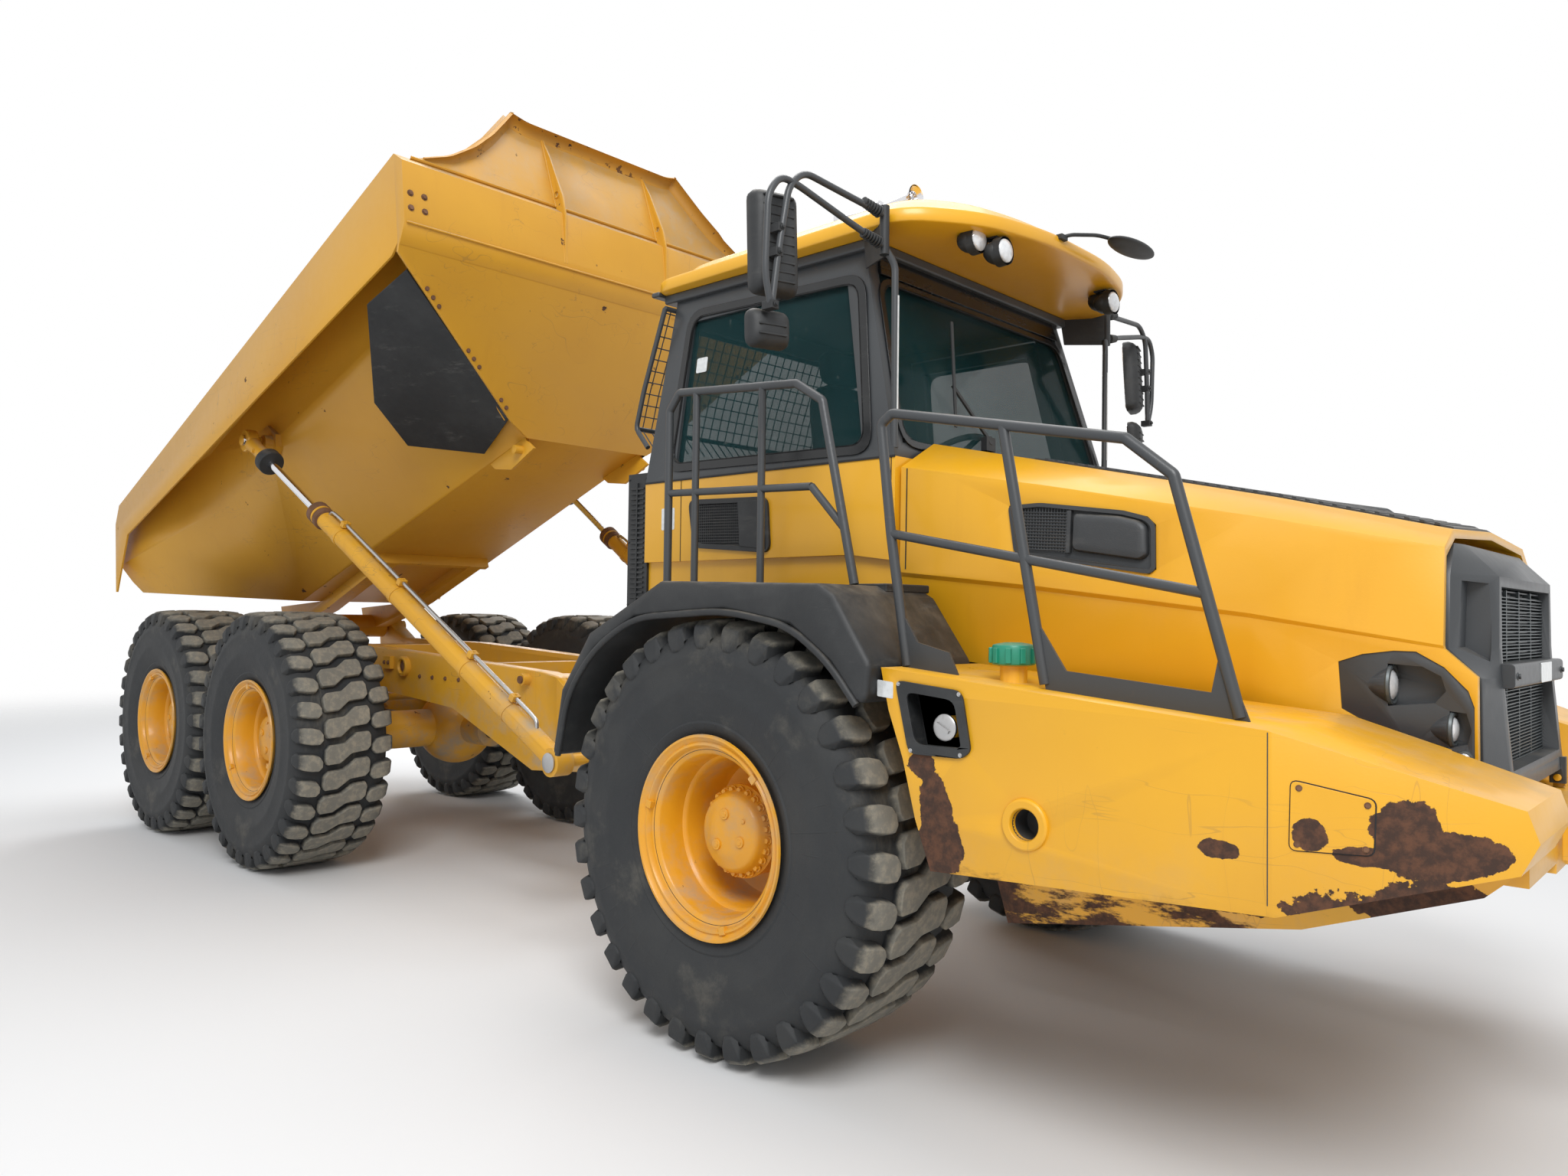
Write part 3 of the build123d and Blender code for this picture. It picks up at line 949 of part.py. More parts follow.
# Grille: each section's z, then x and half width of its outer and its front corner
GRILLE_REAR = (2150, 622)
GRILLE_SECTIONS = [
    ("z", "outer", "front"),
    (1129, (2286, 580), (2335, 455)),
    (1467, (2284, 590), (2306, 455)),
    (1553, (2204, 600), (2302, 452)),
    (1765, (2203, 575), (2301, 440)),
    (1862, (2202, 520), (2212, 430)),
]
GRILLE_OPENINGS = [(1195, 1440), (1505, 1735)]
GRILLE_HALF = 410
FIN_PITCH = 16
FIN_HEIGHT = 5
with BuildPart() as grille:
    faces = []
    for z, outer, front in GRILLE_SECTIONS[1:]:
        half = [(GRILLE_REAR[0], outer[1]), outer, front]
        with BuildSketch(Plane.XY.offset(z)) as section:
            Polygon(*half, *[(x, -y) for x, y in reversed(half)], align=None)
        faces.append(section.sketch.face())
    loft(faces, ruled=True)
    for z_from, z_to in GRILLE_OPENINGS:
        block((2240, 2400), (-GRILLE_HALF, GRILLE_HALF), (z_from, z_to), mode=Mode.SUBTRACT)
    for z_from, z_to in GRILLE_OPENINGS:
        for index in range(int((z_to - z_from - FIN_HEIGHT) / FIN_PITCH)):
            z = z_from + FIN_PITCH * (index + 0.7)
            block((2238, 2272), (-GRILLE_HALF, GRILLE_HALF), (z, z + FIN_HEIGHT))
    block((2240, 2330), (-427, 427), (1440, 1505))
    for side in SIDES.values():
        side_plate([(2226, 1750), (2286, 1742), (2286, 1516), (2220, 1556)], side * 470, side * 700,
                   mode=Mode.SUBTRACT)
    for form in (hood_shell, headlamps):
        add(form.part, mode=Mode.SUBTRACT)
    for side in SIDES.values():
        block((HOOD_HINGE_X - 24, HOOD_HINGE_X + 24), (side * 405, side * 432), (HOOD_HINGE_Z - 20, 1150))
        block((HOOD_HINGE_X - 60, HOOD_HINGE_X + 24), (side * 405, side * 432), (1130, 1170))
        bar((HOOD_HINGE_X, side * 400, HOOD_HINGE_Z), (HOOD_HINGE_X, side * 440, HOOD_HINGE_Z),
            HOOD_PIN_RADIUS + RUNNING_CLEARANCE, mode=Mode.SUBTRACT)
save(grille.part, "grille")
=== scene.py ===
import functools
import logging
import math
from dataclasses import dataclass, field
from enum import Enum
from typing import Callable, Iterable, Sequence

import bmesh
import bpy
from mathutils import Matrix, Vector
from mathutils.geometry import tessellate_polygon


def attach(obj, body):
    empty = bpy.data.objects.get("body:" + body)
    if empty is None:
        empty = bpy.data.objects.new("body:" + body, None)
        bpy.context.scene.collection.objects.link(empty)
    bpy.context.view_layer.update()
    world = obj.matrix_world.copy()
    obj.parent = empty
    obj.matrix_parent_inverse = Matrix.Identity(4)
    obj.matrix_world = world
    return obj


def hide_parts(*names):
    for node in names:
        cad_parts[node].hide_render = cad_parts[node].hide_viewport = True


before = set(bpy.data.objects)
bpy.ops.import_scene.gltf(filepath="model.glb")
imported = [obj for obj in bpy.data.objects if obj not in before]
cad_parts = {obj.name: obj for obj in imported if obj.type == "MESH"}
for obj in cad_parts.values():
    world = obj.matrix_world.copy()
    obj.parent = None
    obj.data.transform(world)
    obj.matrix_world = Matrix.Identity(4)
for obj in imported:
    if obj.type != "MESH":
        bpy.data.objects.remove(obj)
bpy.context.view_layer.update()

LOG = logging.getLogger("dump_truck")

Point = tuple[float, float, float]
Flat = tuple[float, float]
Colour = tuple[float, float, float]

# The frame's origin lies this far behind the front axle, along x
AXLE_AHEAD = 2.169
FROM_AXLE = Matrix.Translation((AXLE_AHEAD, 0.0, 0.0))

# The bin is drawn level, and turned up about its hinge
BIN_HINGE = Vector((-6.1, 0.0, 1.5))
TIP_ANGLE = math.radians(-20.1)
TIPPED = (FROM_AXLE @ Matrix.Translation(BIN_HINGE) @ Matrix.Rotation(TIP_ANGLE, 4, "Y")
          @ Matrix.Translation(-BIN_HINGE))

FULL_TURN = 2 * math.pi

# The most of a side that one rounded corner takes
CORNER_SHARE = 0.45

# Points of a piece that lie closer together than this are one point
WELD = 0.00001
SOLID_WELD = 0.00002

# Faces of a solid that meet at less than this are one face
FLAT_ANGLE = math.radians(1.2)

# The angle between faces, in degrees, from which their edge is sharp
SHARP = 35.0


def at(x: float, y: float, z: float) -> Vector:
    """Returns a point that is measured from the front axle, in the frame's own coordinates."""
    return Vector((x + AXLE_AHEAD, y, z))


def mixed(value: float, table: Sequence[Flat]) -> float:
    """Reads a value between the rows of a table.

    Args:
        value: Where it is read.
        table: Rows of a place and what stands there, the places rising.

    Returns:
        What stands at the value.
    """
    for (low, first), (high, second) in zip(table, table[1:]):
        if value <= high:
            share = min(max((value - low) / (high - low), 0.0), 1.0)
            return first + (second - first) * share
    return table[-1][1]


def corner(before: Vector, here: Vector, after: Vector, radius: float, steps: int = 5) -> list[Vector]:
    """Rounds one corner of a run of points.

    Args:
        before: The point before the corner.
        here: The corner.
        after: The point after it.
        radius: How far from the corner the rounding starts.
        steps: The lines along it.

    Returns:
        The points of the rounding.
    """
    back, ahead = before - here, after - here
    reach = min(radius, back.length * CORNER_SHARE, ahead.length * CORNER_SHARE)
    start, end = here + back.normalized() * reach, here + ahead.normalized() * reach
    shares = [step / steps for step in range(steps + 1)]
    return [start.lerp(here, share).lerp(here.lerp(end, share), share) for share in shares]


def rounded(outline: Sequence[Sequence[float]], radius: float, steps: int = 5) -> list[tuple[float, ...]]:
    """Rounds the corners of a closed outline.

    Args:
        outline: The outline's points, flat or in space.
        radius: How far from each corner the rounding starts.
        steps: The lines along each rounded corner.

    Returns:
        The rounded outline.
    """
    points = [Vector(point) for point in outline]
    trios = zip([points[-1], *points], points, [*points[1:], points[0]])
    return [tuple(point) for trio in trios for point in corner(*trio, radius, steps)]


def grown(outline: Sequence[Flat], by: float) -> list[Flat]:
    """Moves each side of a flat outline outwards.

    Args:
        outline: The outline's corners, in either direction.
        by: How far, or inwards where it is negative.

    Returns:
        The new corners.
    """
    count = len(outline)
    area = sum(outline[i - 1][0] * outline[i][1] - outline[i][0] * outline[i - 1][1] for i in range(count))
    turn = 1.0 if area > 0 else -1.0
    result = []
    for index in range(count):
        before, here, after = (Vector(outline[(index + step) % count]) for step in (-1, 0, 1))
        first, second = (here - before).normalized(), (after - here).normalized()
        normal = Vector((first.y + second.y, -first.x - second.x)) * turn
        scale = 2.0 / max(normal.length_squared, 0.4)
        result.append(tuple(here + normal * by * scale))
    return result


def upright(outline: Iterable[Sequence[float]], depth: float) -> list[Point]:
    """Stands an outline of (x, z) up lengthwise, at one y."""
    return [(x, depth, z) for x, z in outline]


def crosswise(outline: Iterable[Sequence[float]], depth: float) -> list[Point]:
    """Stands an outline of (y, z) up across the machine, at one x."""
    return [(depth, y, z) for y, z in outline]


class Side(Enum):
    """The two sides of the machine, with the sign of y."""

    RIGHT = -1
    LEFT = 1

    @property
    def word(self) -> str:
        """The side's name in lower case."""
        return self.name.lower()


# Shader expressions


class Value:
    """A number in a material, which adds a Math node for each operator used on it."""

    def __init__(self, graph: "Graph", socket: bpy.types.NodeSocket) -> None:
        """Keeps the graph and the socket that the number comes from.

        Args:
            graph: The material's graph.
            socket: The output that carries the number.
        """
        self.graph = graph
        self.socket = socket

    def op(self, operation: str, *others: "Value | float") -> "Value":
        """Adds a Math node.

        Args:
            operation: The node's operation.
            others: What stands in the other inputs.

        Returns:
            The node's result.
        """
        return self.graph.node("ShaderNodeMath", {"operation": operation}, dict(enumerate((self, *others))))

    def __add__(self, other: "Value | float") -> "Value":
        """Adds a value."""
        return self.op("ADD", other)

    __radd__ = __add__

    def __sub__(self, other: "Value | float") -> "Value":
        """Takes a value away."""
        return self.op("SUBTRACT", other)

    def __rsub__(self, other: "Value | float") -> "Value":
        """Is taken away from a value."""
        return self.graph.node("ShaderNodeMath", {"operation": "SUBTRACT"}, {0: other, 1: self})

    def __mul__(self, other: "Value | float") -> "Value":
        """Multiplies by a value."""
        return self.op("MULTIPLY", other)

    __rmul__ = __mul__

    def __pow__(self, other: "Value | float") -> "Value":
        """Raises to a power."""
        return self.op("POWER", other)

    def __abs__(self) -> "Value":
        """Drops the sign."""
        return self.op("ABSOLUTE")

    def least(self, other: "Value | float") -> "Value":
        """Keeps the smaller of two values."""
        return self.op("MINIMUM", other)

    def most(self, other: "Value | float") -> "Value":
        """Keeps the larger of two values."""
        return self.op("MAXIMUM", other)

    def rise(self, low: float, high: float) -> "Value":
        """Turns the value into a mask that rises smoothly.

        Args:
            low: Where the mask starts to rise from 0.
            high: Where it reaches 1. Below low, the mask falls instead.

        Returns:
            The mask, from 0 to 1.
        """
        falls = high < low
        ends = {1: min(low, high), 2: max(low, high), 3: 1.0 if falls else 0.0, 4: 0.0 if falls else 1.0}
        settings = {"interpolation_type": "SMOOTHSTEP", "clamp": True}
        return self.graph.node("ShaderNodeMapRange", settings, {0: self, **ends})


class Graph:
    """The nodes of one material, or of the world, built from expressions."""

    def __init__(self, name: str, world: bool = False) -> None:
        """Makes an empty material or world.

        Args:
            name: Its name.
            world: Whether it is a world.
        """
        self.owner = (bpy.data.worlds if world else bpy.data.materials).new(name)
        self.owner.use_nodes = True
        self.tree = self.owner.node_tree
        self.tree.nodes.clear()
        self.output = self.tree.nodes.new("ShaderNodeOutputWorld" if world else "ShaderNodeOutputMaterial")
        self.shader = self.tree.nodes.new("ShaderNodeBackground" if world else "ShaderNodeBsdfPrincipled")
        self.surface = Value(self, self.shader.outputs[0])
        self.feed(self.output.inputs[0], self.surface)

    def fade(self, share: Value, other: Value) -> None:
        """Shows another shader where the share is 1."""
        mixed_shader = self.node("ShaderNodeMixShader", {}, {0: share, 1: self.surface, 2: other})
        self.feed(self.output.inputs[0], mixed_shader)

    def node(self, kind: str, settings: dict, inputs: dict, output: int | str = 0) -> Value:
        """Adds any node.

        Args:
            kind: The node's type.
            settings: Its properties, which are set first.
            inputs: What its sockets take: numbers, colours or values.
            output: Which output is handed on.

        Returns:
            The chosen output.
        """
        made = self.tree.nodes.new(kind)
        for name, setting in settings.items():
            setattr(made, name, setting)
        for key, item in inputs.items():
            self.feed(made.inputs[key], item)
        return Value(self, made.outputs[output])

    def feed(self, socket: bpy.types.NodeSocket, item: "Value | float | Sequence[float]") -> None:
        """Links a value to a socket, or sets a constant on it.

        Args:
            socket: The input.
            item: What it takes.
        """
        if isinstance(item, Value):
            self.tree.links.new(item.socket, socket)
        elif isinstance(item, (int, float)):
            socket.default_value = item
        else:
            socket.default_value = (*item, 1.0) if socket.type == "RGBA" and len(item) == 3 else tuple(item)

    def place(self, scale: Point = (1.0, 1.0, 1.0), turn: Point = (0.0, 0.0, 0.0)) -> Value:
        """Gives the place on the piece, in metres along the frame's axes.

        Args:
            scale: How much each axis is stretched.
            turn: The rotation about each axis, in radians.

        Returns:
            The coordinates.
        """
        here = self.node("ShaderNodeTexCoord", {}, {}, "Object")
        if scale == (1.0, 1.0, 1.0) and turn == (0.0, 0.0, 0.0):
            return here
        return self.node("ShaderNodeMapping", {}, {"Vector": here, "Scale": scale, "Rotation": turn})

    def axes(self, vector: Value) -> tuple[Value, Value, Value]:
        """Splits coordinates into x, y and z."""
        first = self.node("ShaderNodeSeparateXYZ", {}, {0: vector})
        return tuple(Value(self, first.socket.node.outputs[index]) for index in range(3))

    def noise(self, scale: float, detail: float = 4.0, rough: float = 0.55, place: Value | None = None,
              twist: float = 0.0) -> Value:
        """Adds cloudy noise.

        Args:
            scale: Its cells per metre.
            detail: Its octaves.
            rough: How strong the fine octaves are.
            place: The coordinates it is read at.
            twist: How far it is distorted.

        Returns:
            The noise, about 0.5.
        """
        inputs = {"Vector": place or self.place(), "Scale": scale, "Detail": detail, "Roughness": rough,
                  "Distortion": twist}
        return self.node("ShaderNodeTexNoise", {}, inputs)

    def blend(self, share: "Value | float", first: "Value | Colour", second: "Value | Colour") -> Value:
        """Mixes two colours.

        Args:
            share: How much of the second is seen.
            first: The colour at 0.
            second: The colour at 1.

        Returns:
            The mixed colour.
        """
        return self.node("ShaderNodeMix", {"data_type": "RGBA"}, {0: share, 6: first, 7: second}, 2)

    def facing_up(self) -> Value:
        """Gives how far the surface faces the sky, from -1 to 1."""
        return self.axes(self.node("ShaderNodeNewGeometry", {}, {}, "Normal"))[2]

    def relief(self, height: Value, distance: float, strength: float = 1.0) -> None:
        """Turns a height into small relief on the surface.

        Args:
            height: The height, from 0 to 1.
            distance: What a height of 1 stands for, in metres.
            strength: How much of the relief is seen.
        """
        inputs = {"Height": height, "Distance": distance, "Strength": strength}
        self.feed(self.shader.inputs["Normal"], self.node("ShaderNodeBump", {}, inputs))

    def set(self, **inputs: "Value | float | Colour") -> bpy.types.Material:
        """Feeds the shader's own sockets.

        Args:
            inputs: The sockets' names with underscores, and what each takes.

        Returns:
            The finished material.
        """
        for name, item in inputs.items():
            self.feed(self.shader.inputs[name.replace("_", " ")], item)
        return self.owner


# Finishes

RUST_DARK: Colour = (0.045, 0.022, 0.014)
RUST_BROWN: Colour = (0.115, 0.048, 0.024)
ROAD_DUST: Colour = (0.36, 0.31, 0.24)


@dataclass(frozen=True)
class Patch:
    """A place where the paint has worn through: its middle, measured from the front axle, and its reach."""

    middle: Point
    reach: Point


@dataclass(frozen=True)
class Enamel:
    """Yellow or grey machine paint, with wear, chips, dust and rust."""

    name: str
    slot: str
    colour: Colour
    shade: Colour
    gloss: float = 0.36
    coat: float = 0.25
    dust: float = 0.25
    dust_below: float = 1.2
    chips: float = 0.0
    scratches: float = 0.0
    patches: tuple[Patch, ...] = ()
    scuffed_below: tuple[float, float] | None = None
    bare_inside: float = 0.0

    def worn_places(self, graph: Graph) -> Value | None:
        """Builds the mask of the places where the paint is gone.

        Args:
            graph: The material's graph.

        Returns:
            The mask, or None where the paint is whole.
        """
        masks = []
        edge = graph.noise(9.0, 9.0, 0.66) - 0.5
        coarse = graph.noise(2.6, 4.0) - 0.5
        for patch in self.patches:
            offset = graph.node("ShaderNodeVectorMath", {"operation": "SUBTRACT"},
                                {0: graph.place(), 1: tuple(at(*patch.middle))})
            scaled = graph.node("ShaderNodeVectorMath", {"operation": "DIVIDE"}, {0: offset, 1: patch.reach})
            far = graph.node("ShaderNodeVectorMath", {"operation": "LENGTH"}, {0: scaled}, "Value")
            masks.append((far + edge * 1.5 + coarse * 1.7).rise(0.98, 0.95))
        if self.chips:
            flecks = graph.noise(11.0, 8.0, 0.62).rise(0.70 - self.chips, 0.712 - self.chips)
            masks.append(flecks * graph.noise(1.3, 2.0).rise(0.48, 0.6))
        if self.scuffed_below:
            height = graph.axes(graph.place())[2]
            low = (height + coarse * 0.22 + edge * 0.2).rise(*self.scuffed_below)
            masks.append(low * graph.noise(2.0, 8.0, 0.7, graph.place((1.0, 1.0, 3.4))).rise(0.46, 0.52))
        return functools.reduce(Value.most, masks) if masks else None

    def material(self) -> bpy.types.Material:
        """Builds the paint.

        Returns:
            The material.
        """
        graph = Graph(self.name)
        cloud = graph.noise(0.9, 5.0)
        streak = graph.noise(1.0, 5.0, 0.6, graph.place((7.0, 7.0, 0.8)))
        colour = graph.blend(cloud.rise(0.35, 0.72) * 0.6, self.colour, self.shade)
        colour = graph.blend(streak.rise(0.58, 0.78) * 0.35, colour, self.shade)
        height = graph.axes(graph.place())[2]
        grime = graph.noise(5.0, 7.0, 0.65).rise(0.42, 0.72)
        low = height.rise(self.dust_below, self.dust_below * 0.35)
        top = graph.facing_up().rise(0.55, 0.98)
        dusty = ((low * 0.8 + top * 0.55) * grime * self.dust * 2.2).least(0.85)
        colour = graph.blend(dusty, colour, ROAD_DUST)
        rough = self.gloss + graph.noise(22.0, 3.0) * 0.12 + dusty * 0.4
        relief = graph.noise(160.0, 2.0) * 0.25 + cloud * 0.4
        if self.scratches:
            lines = abs(graph.noise(1.6, 3.0, 0.5, graph.place((0.5, 2.4, 5.0), (0.3, 0.5, 0.2))) - 0.5)
            thin = lines.rise(0.0035, 0.0012)
            more = abs(graph.noise(2.1, 2.0, 0.5, graph.place((3.6, 1.0, 0.7), (0.1, 0.9, 0.4))) - 0.52)
            thin = thin.most(more.rise(0.003, 0.001))
            marks = thin * graph.noise(1.7, 3.0).rise(0.5, 0.62) * self.scratches
            colour = graph.blend(marks, colour, (0.16, 0.10, 0.05))
            relief = relief - marks * 0.6
        if self.bare_inside:
            up = graph.facing_up().rise(0.10, 0.62)
            torn = graph.noise(0.8, 9.0, 0.62, graph.place((0.7, 1.0, 1.0))).rise(0.40, 0.55)
            drag = graph.noise(2.2, 7.0, 0.7, graph.place((0.35, 4.0, 4.0))).rise(0.35, 0.75)
            bare = up * torn * (0.55 + drag * 0.45) * self.bare_inside
            steel = graph.blend(drag, (0.20, 0.165, 0.125), (0.33, 0.28, 0.21))
            colour = graph.blend(bare, colour, steel)
            rough = rough * (1.0 - bare) + bare * 0.52
            relief = relief - bare * 0.5 + drag * bare * 0.6
        worn = self.worn_places(graph)
        if worn is not None:
            rust = graph.blend(graph.noise(30.0, 6.0, 0.7).rise(0.38, 0.66), RUST_DARK, RUST_BROWN)
            colour = graph.blend(worn, colour, rust)
            rough = rough * (1.0 - worn) + worn * 0.86
            relief = relief - worn * (0.9 - graph.noise(70.0, 4.0) * 0.8)
            graph.feed(graph.shader.inputs["Coat Weight"], (1.0 - worn) * self.coat)
        else:
            graph.shader.inputs["Coat Weight"].default_value = self.coat
        graph.shader.inputs["Coat Roughness"].default_value = 0.18
        graph.relief(relief, 0.0011, 0.7)
        return graph.set(Base_Color=colour, Roughness=rough)


@dataclass(frozen=True)
class TyreRubber:
    """Tyre rubber: black sidewalls with fine rings, and tread blocks worn to tan grey."""

    name: str = "tyre_rubber"
    slot: str = "tyre"
    wall: Colour = (0.0185, 0.0205, 0.0225)
    worn: Colour = (0.20, 0.19, 0.16)
    dusty: Colour = (0.30, 0.27, 0.21)
    worn_from: float = 0.772
    worn_at: float = 0.798

    def material(self) -> bpy.types.Material:
        """Builds the rubber. The piece's own origin lies on the axle, which runs along its y.

        Returns:
            The material.
        """
        graph = Graph(self.name)
        x, y, z = graph.axes(graph.place())
        radius = (x * x + z * z) ** 0.5
        grain = graph.noise(26.0, 8.0, 0.68)
        cloud = graph.noise(3.2, 5.0)
        tread = (radius + (grain - 0.5) * 0.03).rise(self.worn_from, self.worn_at)
        colour = graph.blend(cloud.rise(0.4, 0.7) * 0.55, self.wall, (0.036, 0.037, 0.036))
        smear = graph.noise(2.0, 7.0, 0.7, graph.place((1.0, 3.0, 1.0))).rise(0.52, 0.72)
        colour = graph.blend(smear * 0.22, colour, self.dusty)
        worn = graph.blend(grain.rise(0.42, 0.66), self.worn, self.dusty)
        colour = graph.blend(tread * (0.62 + cloud * 0.5), colour, worn)
        rays = (z.op("ARCTAN2", x) * 44.0).op("SINE")
        sparse = graph.noise(5.0, 2.0).rise(0.5, 0.62)
        fine = rays.rise(0.965, 0.995) * sparse * radius.rise(0.70, 0.66)
        relief = grain * 0.55 + fine * 0.6 + graph.noise(120.0, 3.0) * 0.25
        graph.relief(relief, 0.0022, 0.8)
        rough = 0.62 + grain * 0.2 + tread * 0.12
        return graph.set(Base_Color=colour, Roughness=rough)


@dataclass(frozen=True)
class Moulded:
    """Black plastic or rubber, with a fine grain and a bloom of dust."""

    name: str
    slot: str
    colour: Colour = (0.014, 0.0155, 0.017)
    grey: Colour = (0.05, 0.052, 0.052)
    gloss: float = 0.5
    grain: float = 210.0
    dust: float = 0.25
    scuffs: float = 0.2

    def material(self) -> bpy.types.Material:
        """Builds the plastic.

        Returns:
            The material.
        """
        graph = Graph(self.name)
        cloud = graph.noise(3.0, 6.0, 0.62)
        colour = graph.blend(cloud.rise(0.4, 0.75) * 0.6, self.colour, self.grey)
        scuff = graph.noise(1.4, 6.0, 0.7, graph.place((2.0, 2.0, 9.0), (0.2, 0.4, 0.0))).rise(0.55, 0.72)
        colour = graph.blend(scuff * self.scuffs, colour, (0.16, 0.155, 0.145))
        top = graph.facing_up().rise(0.4, 0.98) * graph.noise(7.0, 6.0, 0.65).rise(0.36, 0.72)
        colour = graph.blend((top * self.dust * 1.4).least(0.8), colour, ROAD_DUST)
        graph.relief(graph.noise(self.grain, 2.0) * 0.6 + cloud * 0.4, 0.0009, 0.75)
        return graph.set(Base_Color=colour, Roughness=self.gloss + scuff * 0.18 + graph.noise(30.0, 3.0) * 0.12)


@dataclass(frozen=True)
class Metal:
    """Bare metal: chrome, steel or a casting."""

    name: str
    slot: str
    colour: Colour = (0.62, 0.62, 0.62)
    gloss: float = 0.25
    stain: float = 0.2
    metallic: float = 1.0
    stain_colour: Colour = (0.14, 0.07, 0.035)
    stretch: Point = (1.0, 1.0, 1.0)

    def material(self) -> bpy.types.Material:
        """Builds the metal.

        Returns:
            The material.
        """
        graph = Graph(self.name)
        grain = graph.noise(60.0, 5.0, 0.6, graph.place(self.stretch))
        spots = graph.noise(8.0, 8.0, 0.7).rise(0.62 - self.stain * 0.3, 0.78 - self.stain * 0.3)
        colour = graph.blend(grain * 0.25, self.colour, tuple(channel * 0.7 for channel in self.colour))
        colour = graph.blend(spots * self.stain * 2.0, colour, self.stain_colour)
        graph.relief(grain * 0.5 + spots * 0.5, 0.0006, 0.6)
        rough = self.gloss + grain * 0.14 + spots * self.stain
        metal = (1.0 - spots * self.stain * 1.6) * self.metallic
        return graph.set(Base_Color=colour, Roughness=rough, Metallic=metal)


@dataclass(frozen=True)
class Glazing:
    """Tinted cab glass with a film of dust and spots."""

    name: str
    slot: str
    tint: Colour = (0.010, 0.042, 0.045)
    film: float = 0.05
    cover: float = 0.46

    def material(self) -> bpy.types.Material:
        """Builds the glass as a tinted, partly see-through pane.

        Returns:
            The material.
        """
        graph = Graph(self.name)
        spots = graph.noise(30.0, 2.0, 0.5).rise(0.68, 0.76)
        haze = graph.noise(1.6, 3.0, 0.5).rise(0.4, 0.75)
        colour = graph.blend(spots * 0.12 + haze * 0.03, self.tint, (0.5, 0.5, 0.45))
        seen = self.cover + haze * self.film + spots * 0.04
        graph.shader.inputs["IOR"].default_value = 1.5
        graph.shader.inputs["Specular IOR Level"].default_value = 0.05
        return graph.set(Base_Color=colour, Roughness=0.05 + haze * 0.05, Alpha=seen)


@dataclass(frozen=True)
class Cloth:
    """Woven seat cloth."""

    name: str
    slot: str
    colour: Colour = (0.03, 0.031, 0.034)
    thread: Colour = (0.075, 0.077, 0.082)
    threads: float = 1900.0

    def material(self) -> bpy.types.Material:
        """Builds the cloth from two crossed sets of threads.

        Returns:
            The material.
        """
        graph = Graph(self.name)
        x, y, z = graph.axes(graph.place())
        weave = (((x + z) * self.threads).op("SINE") * (y * self.threads).op("SINE")) * 0.5 + 0.5
        colour = graph.blend(weave, self.colour, self.thread)
        graph.relief(weave + graph.noise(14.0, 4.0) * 0.6, 0.0007, 0.8)
        graph.shader.inputs["Sheen Weight"].default_value = 0.3
        return graph.set(Base_Color=colour, Roughness=0.9 - weave * 0.05)


@dataclass(frozen=True)
class LampGlass:
    """Clear or coloured lamp lenses and pale painted labels."""

    name: str
    slot: str
    colour: Colour = (0.8, 0.82, 0.84)
    gloss: float = 0.08

    def material(self) -> bpy.types.Material:
        """Builds the lens.

        Returns:
            The material.
        """
        graph = Graph(self.name)
        ribs = graph.noise(55.0, 3.0, 0.5).rise(0.35, 0.7)
        colour = graph.blend(ribs * 0.35, self.colour, tuple(channel * 0.62 for channel in self.colour))
        graph.relief(ribs, 0.0008, 0.6)
        graph.shader.inputs["Coat Weight"].default_value = 1.0
        return graph.set(Base_Color=colour, Roughness=self.gloss + ribs * 0.1, Metallic=0.15)


YELLOW: Colour = (0.80, 0.405, 0.012)
YELLOW_SHADE: Colour = (0.70, 0.335, 0.012)
OCHRE: Colour = (0.66, 0.335, 0.022)
OCHRE_SHADE: Colour = (0.56, 0.27, 0.022)
CHASSIS: Colour = (0.68, 0.345, 0.018)


